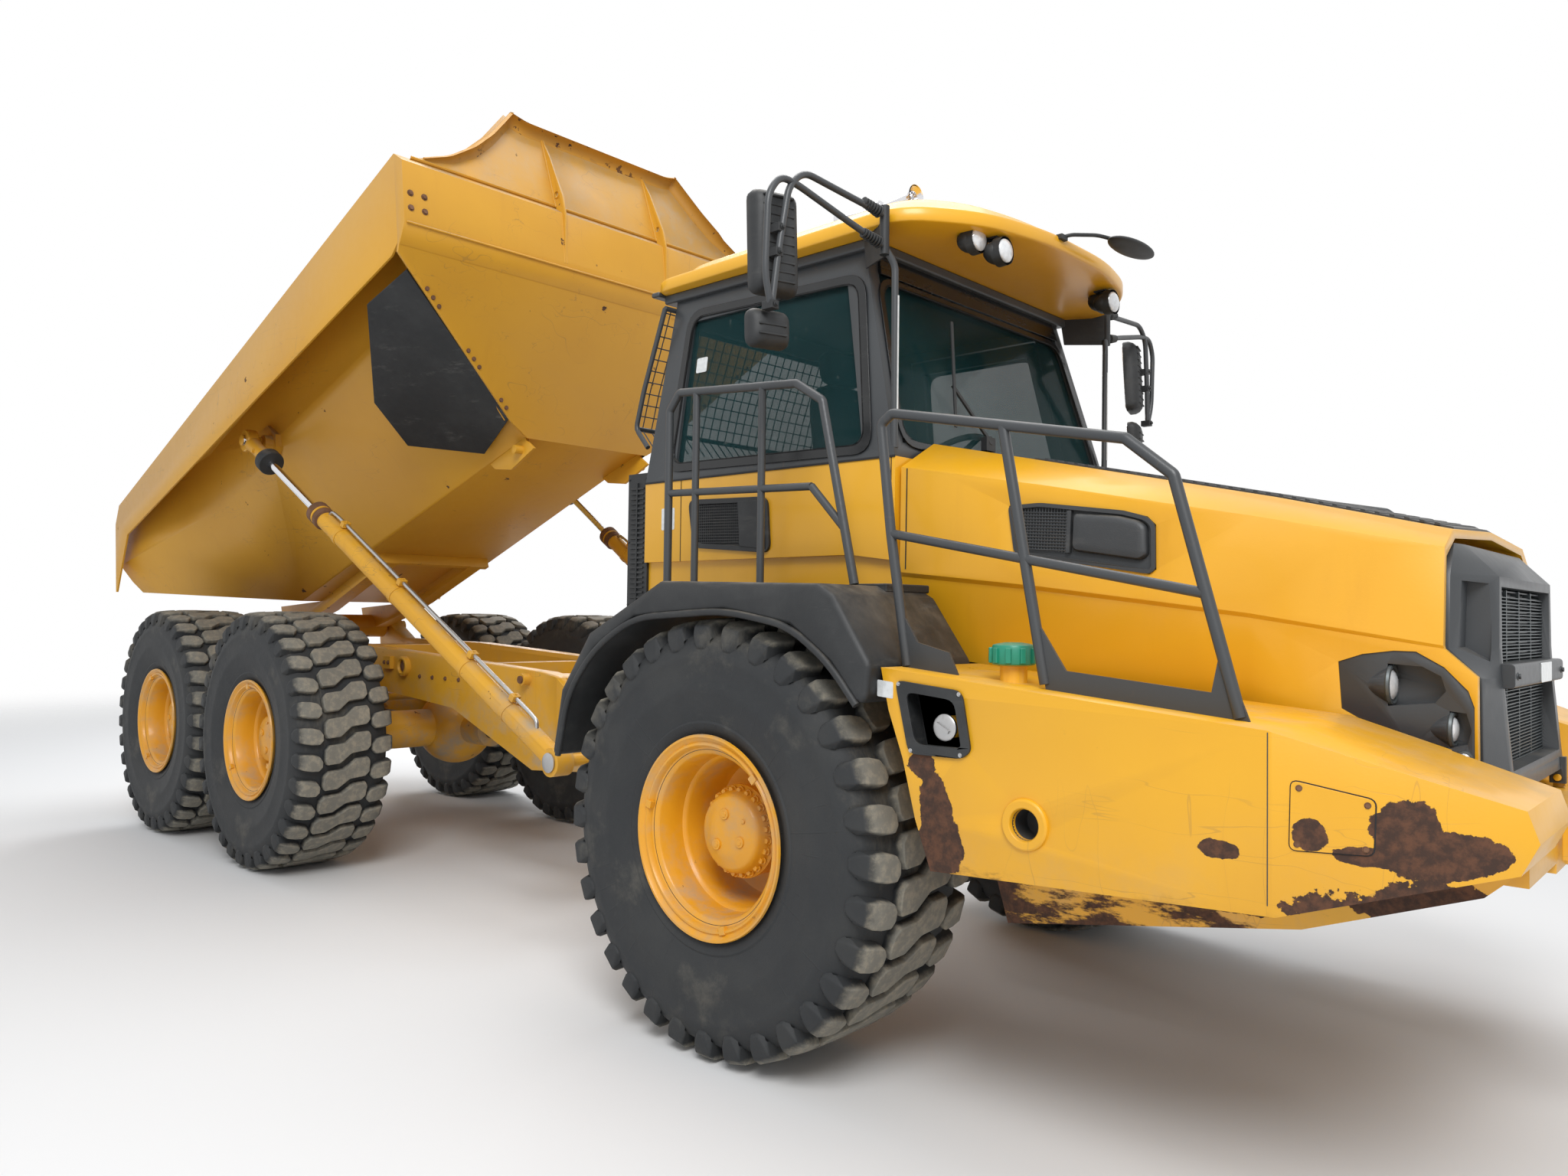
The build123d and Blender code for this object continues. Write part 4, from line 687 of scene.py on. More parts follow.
@dataclass
class Finishes:
    """Every material of the machine, made once, and the slot that each goes by."""

    made: dict[str, bpy.types.Material] = field(default_factory=dict)
    slots: dict[str, str] = field(default_factory=dict)

    def build(self) -> "Finishes":
        """Makes the materials.

        Returns:
            This object.
        """
        kinds = (
            Enamel("hood_yellow", "body_yellow", YELLOW, YELLOW_SHADE, gloss=0.32, coat=0.30, dust=0.1,
                   dust_below=1.0),
            Enamel("sill_yellow", "body_yellow", YELLOW, YELLOW_SHADE, gloss=0.36, dust=0.3, dust_below=1.2,
                   chips=0.015, scratches=0.22, patches=SILL_WEAR, scuffed_below=(0.90, 0.78)),
            Enamel("wheel_yellow", "body_yellow", (0.78, 0.36, 0.01), (0.66, 0.29, 0.012), gloss=0.4, dust=0.28,
                   chips=0.02, dust_below=2.0),
            Enamel("bin_yellow", "bin_yellow", OCHRE, OCHRE_SHADE, gloss=0.42, coat=0.12, dust=0.18,
                   dust_below=0.6, chips=0.02, scratches=0.28, bare_inside=0.85),
            Enamel("guard_yellow", "bin_yellow", OCHRE_SHADE, (0.36, 0.18, 0.03), gloss=0.5, coat=0.05, dust=0.3,
                   dust_below=0.6, chips=0.10, scratches=0.3),
            Enamel("frame_yellow", "chassis_yellow", CHASSIS, OCHRE_SHADE, gloss=0.45, coat=0.1, dust=0.55,
                   dust_below=1.5, chips=0.03, scratches=0.4),
            Enamel("frame_grey", "dark_grey", (0.042, 0.046, 0.05), (0.03, 0.033, 0.036), gloss=0.4, dust=0.16,
                   coat=0.15, chips=0.01, scratches=0.15),
            Enamel("green_cap", "trim", (0.01, 0.24, 0.15), (0.012, 0.17, 0.11), gloss=0.4, dust=0.4),
            TyreRubber(),
            Moulded("black_plastic", "black_plastic"),
            Moulded("gloss_black", "black_plastic", (0.008, 0.009, 0.01), (0.014, 0.015, 0.016), gloss=0.16,
                    grain=20.0, dust=0.1, scuffs=0.05),
            Moulded("mat_rubber", "rubber", (0.012, 0.0135, 0.015), (0.035, 0.037, 0.038), gloss=0.62, scuffs=0.5),
            Moulded("seal_rubber", "rubber", (0.01, 0.01, 0.011), (0.02, 0.02, 0.02), gloss=0.7),
            Moulded("dark_plate", "dark_grey", (0.03, 0.033, 0.036), (0.05, 0.052, 0.055), gloss=0.42),
            Metal("chrome", "chrome", (0.78, 0.78, 0.80), gloss=0.08, stain=0.05),
            Metal("steel", "steel", (0.50, 0.50, 0.50), gloss=0.3, stain=0.18),
            Metal("steel_grey", "dark_grey", (0.11, 0.125, 0.13), gloss=0.38, stain=0.05, metallic=0.5),
            Metal("rusty_steel", "steel", (0.20, 0.10, 0.055), gloss=0.62, stain=0.5, metallic=0.35),
            Metal("cast_iron", "cast", (0.085, 0.075, 0.065), gloss=0.6, stain=0.5, metallic=0.4),
            Glazing("cab_tint", "glass"),
            Cloth("seat_cloth", "trim"),
            LampGlass("lamp_glass", "glass"),
            LampGlass("pale_label", "trim", (0.72, 0.74, 0.74), gloss=0.35),
            LampGlass("red_paint", "trim", (0.32, 0.02, 0.015), gloss=0.4),
        )
        self.made = {kind.name: kind.material() for kind in kinds}
        self.slots = {kind.name: kind.slot for kind in kinds}
        return self

    def __getitem__(self, name: str) -> bpy.types.Material:
        """Gives a finish by its name."""
        return self.made[name]


SILL_WEAR = (
    Patch((0.955, -1.44, 1.175), (0.062, 0.4, 0.05)),
    Patch((1.005, -1.44, 1.06), (0.055, 0.4, 0.10)),
    Patch((1.03, -1.44, 0.93), (0.075, 0.4, 0.09)),
    Patch((1.87, -1.44, 1.052), (0.05, 0.3, 0.022)),
    Patch((2.073, -1.409, 1.112), (0.036, 0.3, 0.038)),
    Patch((2.265, -1.32, 1.125), (0.062, 0.4, 0.078)),
    Patch((2.36, -1.28, 1.085), (0.09, 0.4, 0.048)),
    Patch((2.21, -1.34, 1.068), (0.075, 0.4, 0.022)),
    Patch((2.19, -1.10, 0.935), (0.27, 0.35, 0.075)),
    Patch((1.72, -1.10, 0.85), (0.20, 0.35, 0.035)),
    Patch((1.03, 1.44, 1.02), (0.06, 0.4, 0.14)),
    Patch((2.28, 1.35, 1.10), (0.10, 0.4, 0.06)),
    Patch((2.15, 1.10, 0.93), (0.25, 0.35, 0.07)),
)


# Mesh tools


class Mesh:
    """A mesh under construction, whose pieces share one object and one finish."""

    def __init__(self, place: Matrix | None = None, bend: "Callable[[Vector], Vector] | None" = None) -> None:
        """Starts an empty mesh.

        Args:
            place: How the finished mesh is moved into the frame.
            bend: What is done to each point before that.
        """
        self.shape = bmesh.new()
        self.place = place
        self.bend = bend

    def faces(self, points: Iterable[Sequence[float]], loops: Iterable[Sequence[int]],
              smooth: bool = False) -> "Mesh":
        """Adds faces.

        Args:
            points: The corners.
            loops: The corners' numbers, face by face.
            smooth: Whether the faces are shaded smooth.

        Returns:
            This mesh.
        """
        corners = [self.shape.verts.new(point) for point in points]
        for loop in loops:
            face = self.shape.faces.new([corners[index] for index in loop])
            face.smooth = smooth
        return self

    def lid(self, corners: Sequence[Sequence[float]], smooth: bool = False) -> "Mesh":
        """Adds one face on the given corners."""
        return self.faces(corners, [tuple(range(len(corners)))], smooth)

    def prism(self, outline: Sequence[Sequence[float]], offset: Sequence[float]) -> "Mesh":
        """Extrudes a flat outline.

        Args:
            outline: The outline's points in space.
            offset: How far, and in which direction.

        Returns:
            This mesh.
        """
        count = len(outline)
        far = [Vector(point) + Vector(offset) for point in outline]
        sides = [(index, (index + 1) % count, (index + 1) % count + count, index + count) for index in range(count)]
        return self.faces([*map(Vector, outline), *far],
                          [tuple(range(count))[::-1], tuple(range(count, 2 * count)), *sides])

    def plate(self, outline: Sequence[Sequence[float]], offset: Sequence[float],
              holes: Sequence[Sequence[Sequence[float]]] = ()) -> "Mesh":
        """Extrudes a flat outline that has holes.

        Args:
            outline: The outline's points in space.
            offset: How far, and in which direction.
            holes: The outlines of its holes.

        Returns:
            This mesh.
        """
        loops = [[Vector(point) for point in loop] for loop in (outline, *holes)]
        flat = [point for loop in loops for point in loop]
        near = [self.shape.verts.new(point) for point in flat]
        far = [self.shape.verts.new(point + Vector(offset)) for point in flat]
        for corners in tessellate_polygon(loops):
            self.shape.faces.new([near[index] for index in corners])
            self.shape.faces.new([far[index] for index in reversed(corners)])
        start = 0
        for loop in loops:
            for index in range(len(loop)):
                here, there = start + index, start + (index + 1) % len(loop)
                self.shape.faces.new((near[here], near[there], far[there], far[here]))
            start += len(loop)
        return self

    def grid(self, rows: Sequence[Sequence[Sequence[float]]], smooth: bool = True, ring: bool = False) -> "Mesh":
        """Joins rows of points into a sheet.

        Args:
            rows: Rows of equally many points.
            smooth: Whether it is shaded smooth.
            ring: Whether each row's end joins its start.

        Returns:
            This mesh.
        """
        wide = len(rows[0])
        points = [point for row in rows for point in row]
        spans = wide if ring else wide - 1
        loops = [(r * wide + c, r * wide + (c + 1) % wide, (r + 1) * wide + (c + 1) % wide, (r + 1) * wide + c)
                 for r in range(len(rows) - 1) for c in range(spans)]
        return self.faces(points, loops, smooth)

    def spun(self, profile: Sequence[Flat], base: Sequence[float], along: Sequence[float],
             sides: int = 32) -> "Mesh":
        """Revolves a profile about any line.

        Args:
            profile: Points as (radius, distance along the line).
            base: Where the line starts.
            along: The line's direction.
            sides: The number of steps round.

        Returns:
            This mesh.
        """
        turn = Vector(along).to_track_quat("Z", "Y").to_matrix()
        angles = [FULL_TURN * step / sides for step in range(sides)]
        rows = [[Vector(base) + turn @ Vector((math.cos(angle) * radius, math.sin(angle) * radius, far))
                 for angle in angles] for radius, far in profile]
        return self.grid(rows, True, True)

    def box(self, low: Sequence[float], high: Sequence[float]) -> "Mesh":
        """Adds a box between two corners."""
        (x0, y0, z0), (x1, y1, z1) = low, high
        return self.prism([(x0, y0, z0), (x1, y0, z0), (x1, y1, z0), (x0, y1, z0)], (0, 0, z1 - z0))

    def slab(self, centre: Sequence[float], size: Sequence[float], turn: Matrix | None = None) -> "Mesh":
        """Adds a box about a centre, turned if wanted.

        Args:
            centre: Its middle.
            size: Its lengths along its own axes.
            turn: Its rotation.

        Returns:
            This mesh.
        """
        turn = (turn or Matrix.Identity(3)).to_3x3()
        half = Vector(size) / 2
        base = [turn @ Vector((sx * half.x, sy * half.y, -half.z)) + Vector(centre)
                for sx, sy in ((-1, -1), (1, -1), (1, 1), (-1, 1))]
        return self.prism(base, turn @ Vector((0, 0, size[2])))

    def rod(self, start: Sequence[float], end: Sequence[float], radius: float, sides: int = 20,
            far_radius: float | None = None) -> "Mesh":
        """Adds a round bar or cone.

        Args:
            start: One end's centre.
            end: The other end's centre.
            radius: The radius at the start.
            sides: The number of sides.
            far_radius: The radius at the end, where it differs.

        Returns:
            This mesh.
        """
        start, end = Vector(start), Vector(end)
        turn = (end - start).to_track_quat("Z", "Y").to_matrix()
        angles = [FULL_TURN * step / sides for step in range(sides)]
        rings = [[centre + turn @ Vector((math.cos(angle) * reach, math.sin(angle) * reach, 0)) for angle in angles]
                 for centre, reach in ((start, radius), (end, radius if far_radius is None else far_radius))]
        self.grid(rings, True, True)
        corners = list(self.shape.verts)[-2 * sides:]
        self.shape.faces.new(corners[:sides][::-1])
        self.shape.faces.new(corners[sides:])
        return self

    def turned(self, profile: Sequence[Flat], sides: int) -> "Mesh":
        """Revolves a closed profile about the y axis.

        Args:
            profile: Points as (radius, y).
            sides: The number of steps round.

        Returns:
            This mesh.
        """
        count = len(profile)
        points = [(radius * math.cos(angle), y, radius * math.sin(angle))
                  for angle in (FULL_TURN * step / sides for step in range(sides)) for radius, y in profile]
        starts = [step * count for step in range(sides)]
        loops = [(here + i, here + (i + 1) % count, there + (i + 1) % count, there + i)
                 for here, there in zip(starts, starts[1:] + starts[:1]) for i in range(count)]
        return self.faces(points, loops, smooth=True)

    def ball(self, centre: Sequence[float], reach: Sequence[float], sides: int = 20) -> "Mesh":
        """Adds a smooth ellipsoid.

        Args:
            centre: Its middle.
            reach: Its half lengths.
            sides: Its steps round.

        Returns:
            This mesh.
        """
        place = Matrix.Translation(Vector(centre)) @ Matrix.Diagonal((*reach, 1.0))
        made = bmesh.ops.create_uvsphere(self.shape, u_segments=sides, v_segments=sides // 2, radius=1.0,
                                         matrix=place)
        for vertex in made["verts"]:
            for face in vertex.link_faces:
                face.smooth = True
        return self

    def bolt(self, centre: Sequence[float], facing: Sequence[float], radius: float, height: float) -> "Mesh":
        """Adds a hexagon head on a washer.

        Args:
            centre: Where it meets the surface.
            facing: The direction that it stands in.
            radius: The head's corner radius.
            height: The head's height.

        Returns:
            This mesh.
        """
        base, up = Vector(centre), Vector(facing).normalized()
        self.rod(base - up * 0.002, base + up * height * 0.25, radius * 1.35, 14)
        return self.rod(base + up * height * 0.2, base + up * height, radius, 6)

    def frame(self, outline: Sequence[Flat], wide: float, thick: float, radius: float, depth: float = 0.0,
              across: bool = False) -> "Mesh":
        """Adds a frame round an opening, in the plane that the mesh's bend maps onto the wall.

        Args:
            outline: The opening's corners, as (along, z).
            wide: The frame's width, outwards.
            thick: The frame's thickness.
            radius: The rounding of the opening's corners.
            depth: How far in front of the wall it starts.
            across: Whether the outline runs along y instead of x.

        Returns:
            This mesh.
        """
        stand = crosswise if across else upright
        inner = stand(rounded(outline, radius), depth)
        outer = stand(rounded(grown(outline, wide), radius + wide * 0.7), depth)
        return self.plate(outer, (thick, 0, 0) if across else (0, thick, 0), [inner])

    def finish(self, name: str, finish: bpy.types.Material, bevel: float = 0.0, segments: int = 2,
               angle: float = SHARP) -> bpy.types.Object:
        """Makes the object.

        Args:
            name: The piece's name.
            finish: Its material.
            bevel: The radius of its rounded edges.
            segments: The faces across each rounded edge.
            angle: The sharpest angle, in degrees, that stays unrounded.

        Returns:
            The new object.
        """
        for vertex in self.shape.verts if self.bend else ():
            vertex.co = self.bend(vertex.co)
        if self.place:
            self.shape.transform(self.place)
        bmesh.ops.remove_doubles(self.shape, verts=self.shape.verts, dist=WELD)
        bmesh.ops.recalc_face_normals(self.shape, faces=self.shape.faces)
        data = bpy.data.meshes.new(name)
        self.shape.to_mesh(data)
        self.shape.free()
        data.set_sharp_from_angle(angle=math.radians(angle))
        made = placed(name, data)
        data.materials.append(finish)
        if bevel:
            round_edges(made, bevel, segments, angle)
        return made


def placed(name: str, data: bpy.types.ID | None) -> bpy.types.Object:
    """Puts a new object with the given data into the scene.

    Args:
        name: The object's name.
        data: Its mesh, curve, lamp or camera.

    Returns:
        The object.
    """
    made = bpy.data.objects.new(name, data)
    bpy.context.scene.collection.objects.link(made)
    return made


def round_edges(piece: bpy.types.Object, width: float, segments: int = 2, angle: float = SHARP) -> None:
    """Rounds a piece's sharp edges and shades it by angle.

    Args:
        piece: The object.
        width: The rounding's size.
        segments: The faces across each edge.
        angle: The angle in degrees from which an edge is rounded.
    """
    for face in piece.data.polygons:
        face.use_smooth = True
    bevel = piece.modifiers.new("rounded", "BEVEL")
    bevel.width = width
    bevel.segments = segments
    bevel.limit_method = "ANGLE"
    bevel.angle_limit = math.radians(angle)
    bevel.use_clamp_overlap = True
    bevel.harden_normals = True
    bevel.miter_outer = "MITER_ARC"


def joined(name: str, pieces: Sequence[bpy.types.Object]) -> bpy.types.Object:
    """Joins pieces of one body and finish into one object.

    Args:
        name: The joined piece's name.
        pieces: The objects, of which the first stays.

    Returns:
        The joined object.
    """
    with bpy.context.temp_override(active_object=pieces[0], selected_editable_objects=list(pieces)):
        bpy.ops.object.join()
    pieces[0].name = name
    return pieces[0]


def ride(piece: bpy.types.Object, body: str, slot: str, *nodes: str) -> bpy.types.Object:
    """Hangs a piece on a body, hides the nodes that it stands for, and reports it.

    Args:
        piece: The object.
        body: The body that it moves with.
        slot: The material slot; not used.
        nodes: The nodes that it replaces.

    Returns:
        The object.
    """
    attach(piece, body)
    if nodes:
        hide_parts(*nodes)
    LOG.info("%s on %s, %d faces", piece.name, body, len(piece.data.polygons))
    return piece


def dress(node: str, finish: bpy.types.Material) -> None:
    """Gives a node of the frame its finish.

    Args:
        node: The node's name.
        finish: The finish.
    """
    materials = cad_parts[node].data.materials
    materials.clear()
    materials.append(finish)


# Panels kept from the solids


@dataclass
class Panelwork:
    """The nodes whose shapes stay: each gets its finish, and the plates get rounded edges."""

    finishes: Finishes
    dressed: tuple[tuple[str, tuple[str, ...]], ...] = (
        ("cast_iron", ("engine_block", "prop_shafts")),
        ("cab_tint", ("cab_glass", "door_glass")),
        ("frame_yellow", ("hitch_yoke", "rear_axles", "front_axle")),
        ("black_plastic", ("dashboard", "intake_box", "mirrors", "roof_lamps")),
        ("chrome", ("horn",)),
        ("hood_yellow", ("cab_roof",)),
        ("frame_grey", ("handrails", "hood_vents")),
        ("seat_cloth", ("operator_seat",)),
    )
    rounded: tuple[tuple[str, str, str, float], ...] = (
        ("chassis_front", "front_frame", "frame_yellow", 0.006),
        ("nose_beam", "front_frame", "sill_yellow", 0.008),
        ("sills", "front_frame", "sill_yellow", 0.012),
        ("mudguards", "front_frame", "black_plastic", 0.02),
        ("cab_shell", "front_frame", "hood_yellow", 0.012),
        ("cab_frame", "front_frame", "frame_grey", 0.010),
        ("access_steps", "front_frame", "frame_grey", 0.004),
        ("cab_door", "cab_door", "frame_grey", 0.008),
        ("hood_shell", "hood", "hood_yellow", 0.015),
        ("headlamps", "hood", "frame_grey", 0.005),
        ("grille", "hood", "frame_grey", 0.012),
        ("rear_frame", "rear_frame", "frame_yellow", 0.008),
        ("walking_beams", "rear_frame", "frame_yellow", 0.01),
        ("bin_floor", "bin", "bin_yellow", 0.006),
        ("bin_sides", "bin", "bin_yellow", 0.005),
        ("bin_headboard", "bin", "bin_yellow", 0.005),
        ("bin_subframe", "bin", "frame_yellow", 0.006),
        ("bin_mats", "bin", "mat_rubber", 0.003),
        ("hoist_barrel_right", "hoist_barrel_right", "frame_yellow", 0.004),
        ("hoist_barrel_left", "hoist_barrel_left", "frame_yellow", 0.004),
        ("hoist_rod_right", "hoist_rod_right", "chrome", 0.003),
        ("hoist_rod_left", "hoist_rod_left", "chrome", 0.003),
    )

    def build(self) -> None:
        """Dresses the plain nodes and copies the others with rounded edges."""
        for finish, nodes in self.dressed:
            for node in nodes:
                dress(node, self.finishes[finish])
        for node, body, finish, width in self.rounded:
            self.soften(node, body, finish, width)

    def soften(self, node: str, body: str, finish: str, width: float) -> None:
        """Copies a node's shape and rounds its edges. The copy stands for the node.

        Args:
            node: The node's name.
            body: The body it moves with.
            finish: The finish's name.
            width: The rounding's size.
        """
        dress(node, self.finishes[finish])
        shape = bmesh.new()
        shape.from_mesh(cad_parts[node].data)
        bmesh.ops.remove_doubles(shape, verts=shape.verts, dist=SOLID_WELD)
        bmesh.ops.dissolve_limit(shape, angle_limit=FLAT_ANGLE, verts=shape.verts, edges=shape.edges)
        data = bpy.data.meshes.new(node + "_panel")
        shape.to_mesh(data)
        shape.free()
        piece = placed(node + "_panel", data)
        data.materials.append(self.finishes[finish])
        round_edges(piece, width)
        ride(piece, body, self.finishes.slots[finish], node)


# Wheels


@dataclass
class Wheel:
    """One wheel: a tyre with its tread blocks, and a deep rim with its hub. Its outer side is local -y."""

    finishes: Finishes
    radius: float = 0.8085
    blocks: int = 32
    groove: float = 0.766
    lean: float = 0.10
    centre_y: float = 1.178
    axles: tuple[tuple[str, float], ...] = (("front", 0.0), ("middle", -4.181), ("rear", -5.851))

    @property
    def pitch(self) -> float:
        """The angle from one tread block to the next."""
        return FULL_TURN / self.blocks

    def carcass(self) -> list[Flat]:
        """Gives the tyre's own profile under its blocks, as (radius, y), from one bead to the other."""
        half = [
            (0.366, 0.243), (0.385, 0.256), (0.41, 0.268), (0.418, 0.271), (0.426, 0.268), (0.47, 0.281),
            (0.53, 0.291), (0.545, 0.2945), (0.558, 0.2925), (0.60, 0.2955), (0.645, 0.2935), (0.652, 0.2955),
            (0.668, 0.2945), (0.70, 0.286), (0.735, 0.268), (0.757, 0.235), (self.groove, 0.18),
            (self.groove + 0.003, 0.09),
        ]
        outer = [(radius, -y) for radius, y in half]
        return [(0.318, -0.243)] + outer + [(self.groove + 0.004, 0.0)] + half[::-1] + [(0.318, 0.243)]

    def on_tread(self, turn: float, y: float, radius: float) -> Vector:
        """Gives a point of the tread.

        Args:
            turn: The angle round the axle.
            y: The distance from the tyre's middle.
            radius: The distance from the axle.

        Returns:
            The point.
        """
        return Vector((math.cos(turn) * radius, y, math.sin(turn) * radius))

    def crown(self, y: float) -> float:
        """Gives the tread's outer radius at a distance from the middle."""
        return self.radius - 0.0003 - 0.10 * max(abs(y) - 0.06, 0.0) ** 2 * 2.2

    def shoulder_block(self, mesh: Mesh, turn: float, side: int) -> None:
        """Adds a shoulder block, which runs over the tread's edge and down the wall.

        Args:
            mesh: The mesh it joins.
            turn: The angle of its middle.
            side: -1 for the outer edge, 1 for the inner.
        """
        sections = (
            (0.150, 0.10, 0.14, self.crown(0.15) - 0.002, self.groove - 0.012),
            (0.172, 0.27, 0.33, self.crown(0.172), self.groove - 0.012),
            (0.215, 0.30, 0.37, self.crown(0.215), self.groove - 0.016),
            (0.258, 0.29, 0.36, self.crown(0.25) - 0.003, self.groove - 0.035),
            (0.288, 0.26, 0.33, 0.776, 0.725),
            (0.2975, 0.20, 0.27, 0.728, 0.69),
            (0.2965, 0.12, 0.17, 0.697, 0.676),
        )
        rows = []
        for y, top_half, base_half, top, base in sections:
            shift = turn + self.lean * self.pitch * (y - 0.2) / 0.1
            inner = y - 0.022 if y > 0.29 else y - (0.0 if y < 0.2 else 0.004)
            section = ((-base_half, inner, base), (-top_half, y, top), (top_half, y, top), (base_half, inner, base))
            rows.append([self.on_tread(shift + half * self.pitch, side * out, radius)
                         for half, out, radius in section])
        mesh.grid(rows, False, True).lid(rows[0]).lid(rows[-1][::-1])

    def centre_block(self, mesh: Mesh, turn: float) -> None:
        """Adds a block of the middle row: two steps joined by a slanting neck.

        Args:
            mesh: The mesh it joins.
            turn: The angle of its middle.
        """
        outline = (
            (-0.142, -0.52), (-0.128, -0.70), (-0.050, -0.66), (0.020, -0.24), (0.118, -0.16), (0.142, 0.04),
            (0.142, 0.52), (0.128, 0.70), (0.050, 0.66), (-0.020, 0.24), (-0.118, 0.16), (-0.142, -0.04),
        )
        low = [self.on_tread(turn + u * self.pitch * 0.90, v, self.groove - 0.006) for v, u in outline]
        high = [self.on_tread(turn + u * self.pitch * 0.84, v * 0.97, self.crown(v)) for v, u in outline]
        tops = ((0, 1, 2, 10, 11), (2, 3, 9, 10), (3, 4, 8, 9), (4, 5, 6, 7, 8))
        mesh.grid([low, high], False, True).faces(high, tops)

    def tyre(self) -> bpy.types.Mesh:
        """Builds the tyre's mesh once.

        Returns:
            The mesh.
        """
        tread = Mesh()
        for index in range(self.blocks):
            turn = index * self.pitch
            self.shoulder_block(tread, turn, -1)
            self.shoulder_block(tread, turn + self.pitch * 0.5, 1)
            self.centre_block(tread, turn + self.pitch * 0.5)
        lugs = tread.finish("tread", self.finishes["tyre_rubber"], 0.0065, 2, 28)
        body = Mesh().turned(self.carcass(), 128).finish("carcass", self.finishes["tyre_rubber"])
        return self.applied("tyre", [lugs, body])

    def applied(self, name: str, pieces: list[bpy.types.Object]) -> bpy.types.Mesh:
        """Applies the pieces' modifiers and joins them.

        Args:
            name: The mesh's name.
            pieces: The pieces.

        Returns:
            One mesh of them all.
        """
        bpy.context.view_layer.update()
        depsgraph = bpy.context.evaluated_depsgraph_get()
        for piece in pieces:
            data = bpy.data.meshes.new_from_object(piece.evaluated_get(depsgraph))
            piece.modifiers.clear()
            piece.data = data
        whole = joined(name, pieces)
        data = whole.data
        bpy.data.objects.remove(whole)
        return data

    def rim(self) -> bpy.types.Mesh:
        """Builds the rim's mesh once: the stepped well, the disc, the hub and its bolts.

        Returns:
            The mesh.
        """
        finish = self.finishes["wheel_yellow"]
        well = [
            (0.318, -0.240), (0.352, -0.243), (0.360, -0.250), (0.372, -0.262), (0.377, -0.270), (0.374, -0.278),
            (0.366, -0.278), (0.358, -0.268), (0.349, -0.262), (0.343, -0.268), (0.336, -0.268), (0.330, -0.260),
            (0.326, -0.246), (0.306, -0.236), (0.300, -0.228), (0.296, -0.150), (0.292, -0.120), (0.284, -0.112),
            (0.278, -0.100), (0.276, 0.040), (0.262, 0.062), (0.240, 0.070), (0.180, 0.070), (0.172, 0.066),
            (0.170, -0.060), (0.176, -0.066), (0.176, -0.086), (0.168, -0.092), (0.164, -0.092), (0.158, -0.100),
            (0.150, -0.130), (0.140, -0.146), (0.128, -0.152), (0.104, -0.154), (0.096, -0.158), (0.060, -0.158),
            (0.0, -0.158), (0.0, 0.12), (0.175, 0.12), (0.175, 0.29), (0.19, 0.29), (0.19, 0.10), (0.296, 0.09),
            (0.300, 0.24), (0.372, 0.262), (0.372, 0.250), (0.318, 0.243),
        ]
        shell = Mesh().turned(well, 96).finish("well", finish)
        studs = Mesh()
        for index in range(24):
            turn = FULL_TURN * index / 24
            place = Vector((math.cos(turn) * 0.158, -0.094, math.sin(turn) * 0.158))
            studs.bolt(place + Vector((0, -0.004, 0)), (0, -1, 0), 0.0115, 0.018)
        for index in range(3):
            turn = math.radians(90 + 120 * index)
            place = Vector((math.cos(turn) * 0.072, -0.157, math.sin(turn) * 0.072))
            studs.rod(place, place + Vector((0, -0.008, 0)), 0.021, 20)
            studs.rod(place + Vector((0, -0.006, 0)), place + Vector((0, -0.0105, 0)), 0.013, 6)
        screw = Vector((0.092, -0.156, 0.038))
        studs.rod(screw, screw + Vector((0, -0.007, 0)), 0.008, 12)
        for turn in (0.6, 2.7, 4.8):
            place = Vector((math.cos(turn) * 0.334, -0.262, math.sin(turn) * 0.334))
            studs.slab(place, (0.03, 0.02, 0.03), Matrix.Rotation(-turn, 3, "Y"))
        valve = Vector((0.270, -0.105, -0.11))
        studs.rod(valve, valve + Vector((-0.03, -0.07, 0.01)), 0.006, 10)
        details = studs.finish("studs", finish, 0.002, 1)
        return self.applied("rim", [shell, details])

    def build(self) -> None:
        """Hangs a tyre and a rim on every wheel body."""
        kinds = (("tyre", self.tyre(), "tyre_rubber"), ("rim", self.rim(), "wheel_yellow"))
        for place, x in self.axles:
            for side in Side:
                for index, (kind, data, finish) in enumerate(kinds):
                    node = f"{kind}_{place}_{side.word}"
                    piece = placed(node + "_made", data.copy())
                    turn = Matrix.Rotation(math.pi, 4, "Z") if side is Side.LEFT else Matrix.Identity(4)
                    spin = Matrix.Rotation(0.21 * (x + index) + 0.4 * side.value, 4, "Y")
                    piece.data.transform(turn @ spin)
                    piece.matrix_world = Matrix.Translation(at(x, side.value * self.centre_y, self.radius))
                    dress(node, self.finishes[finish])
                    ride(piece, f"wheel_{place}_{side.word}", self.finishes.slots[finish], node)


# The cab's fittings


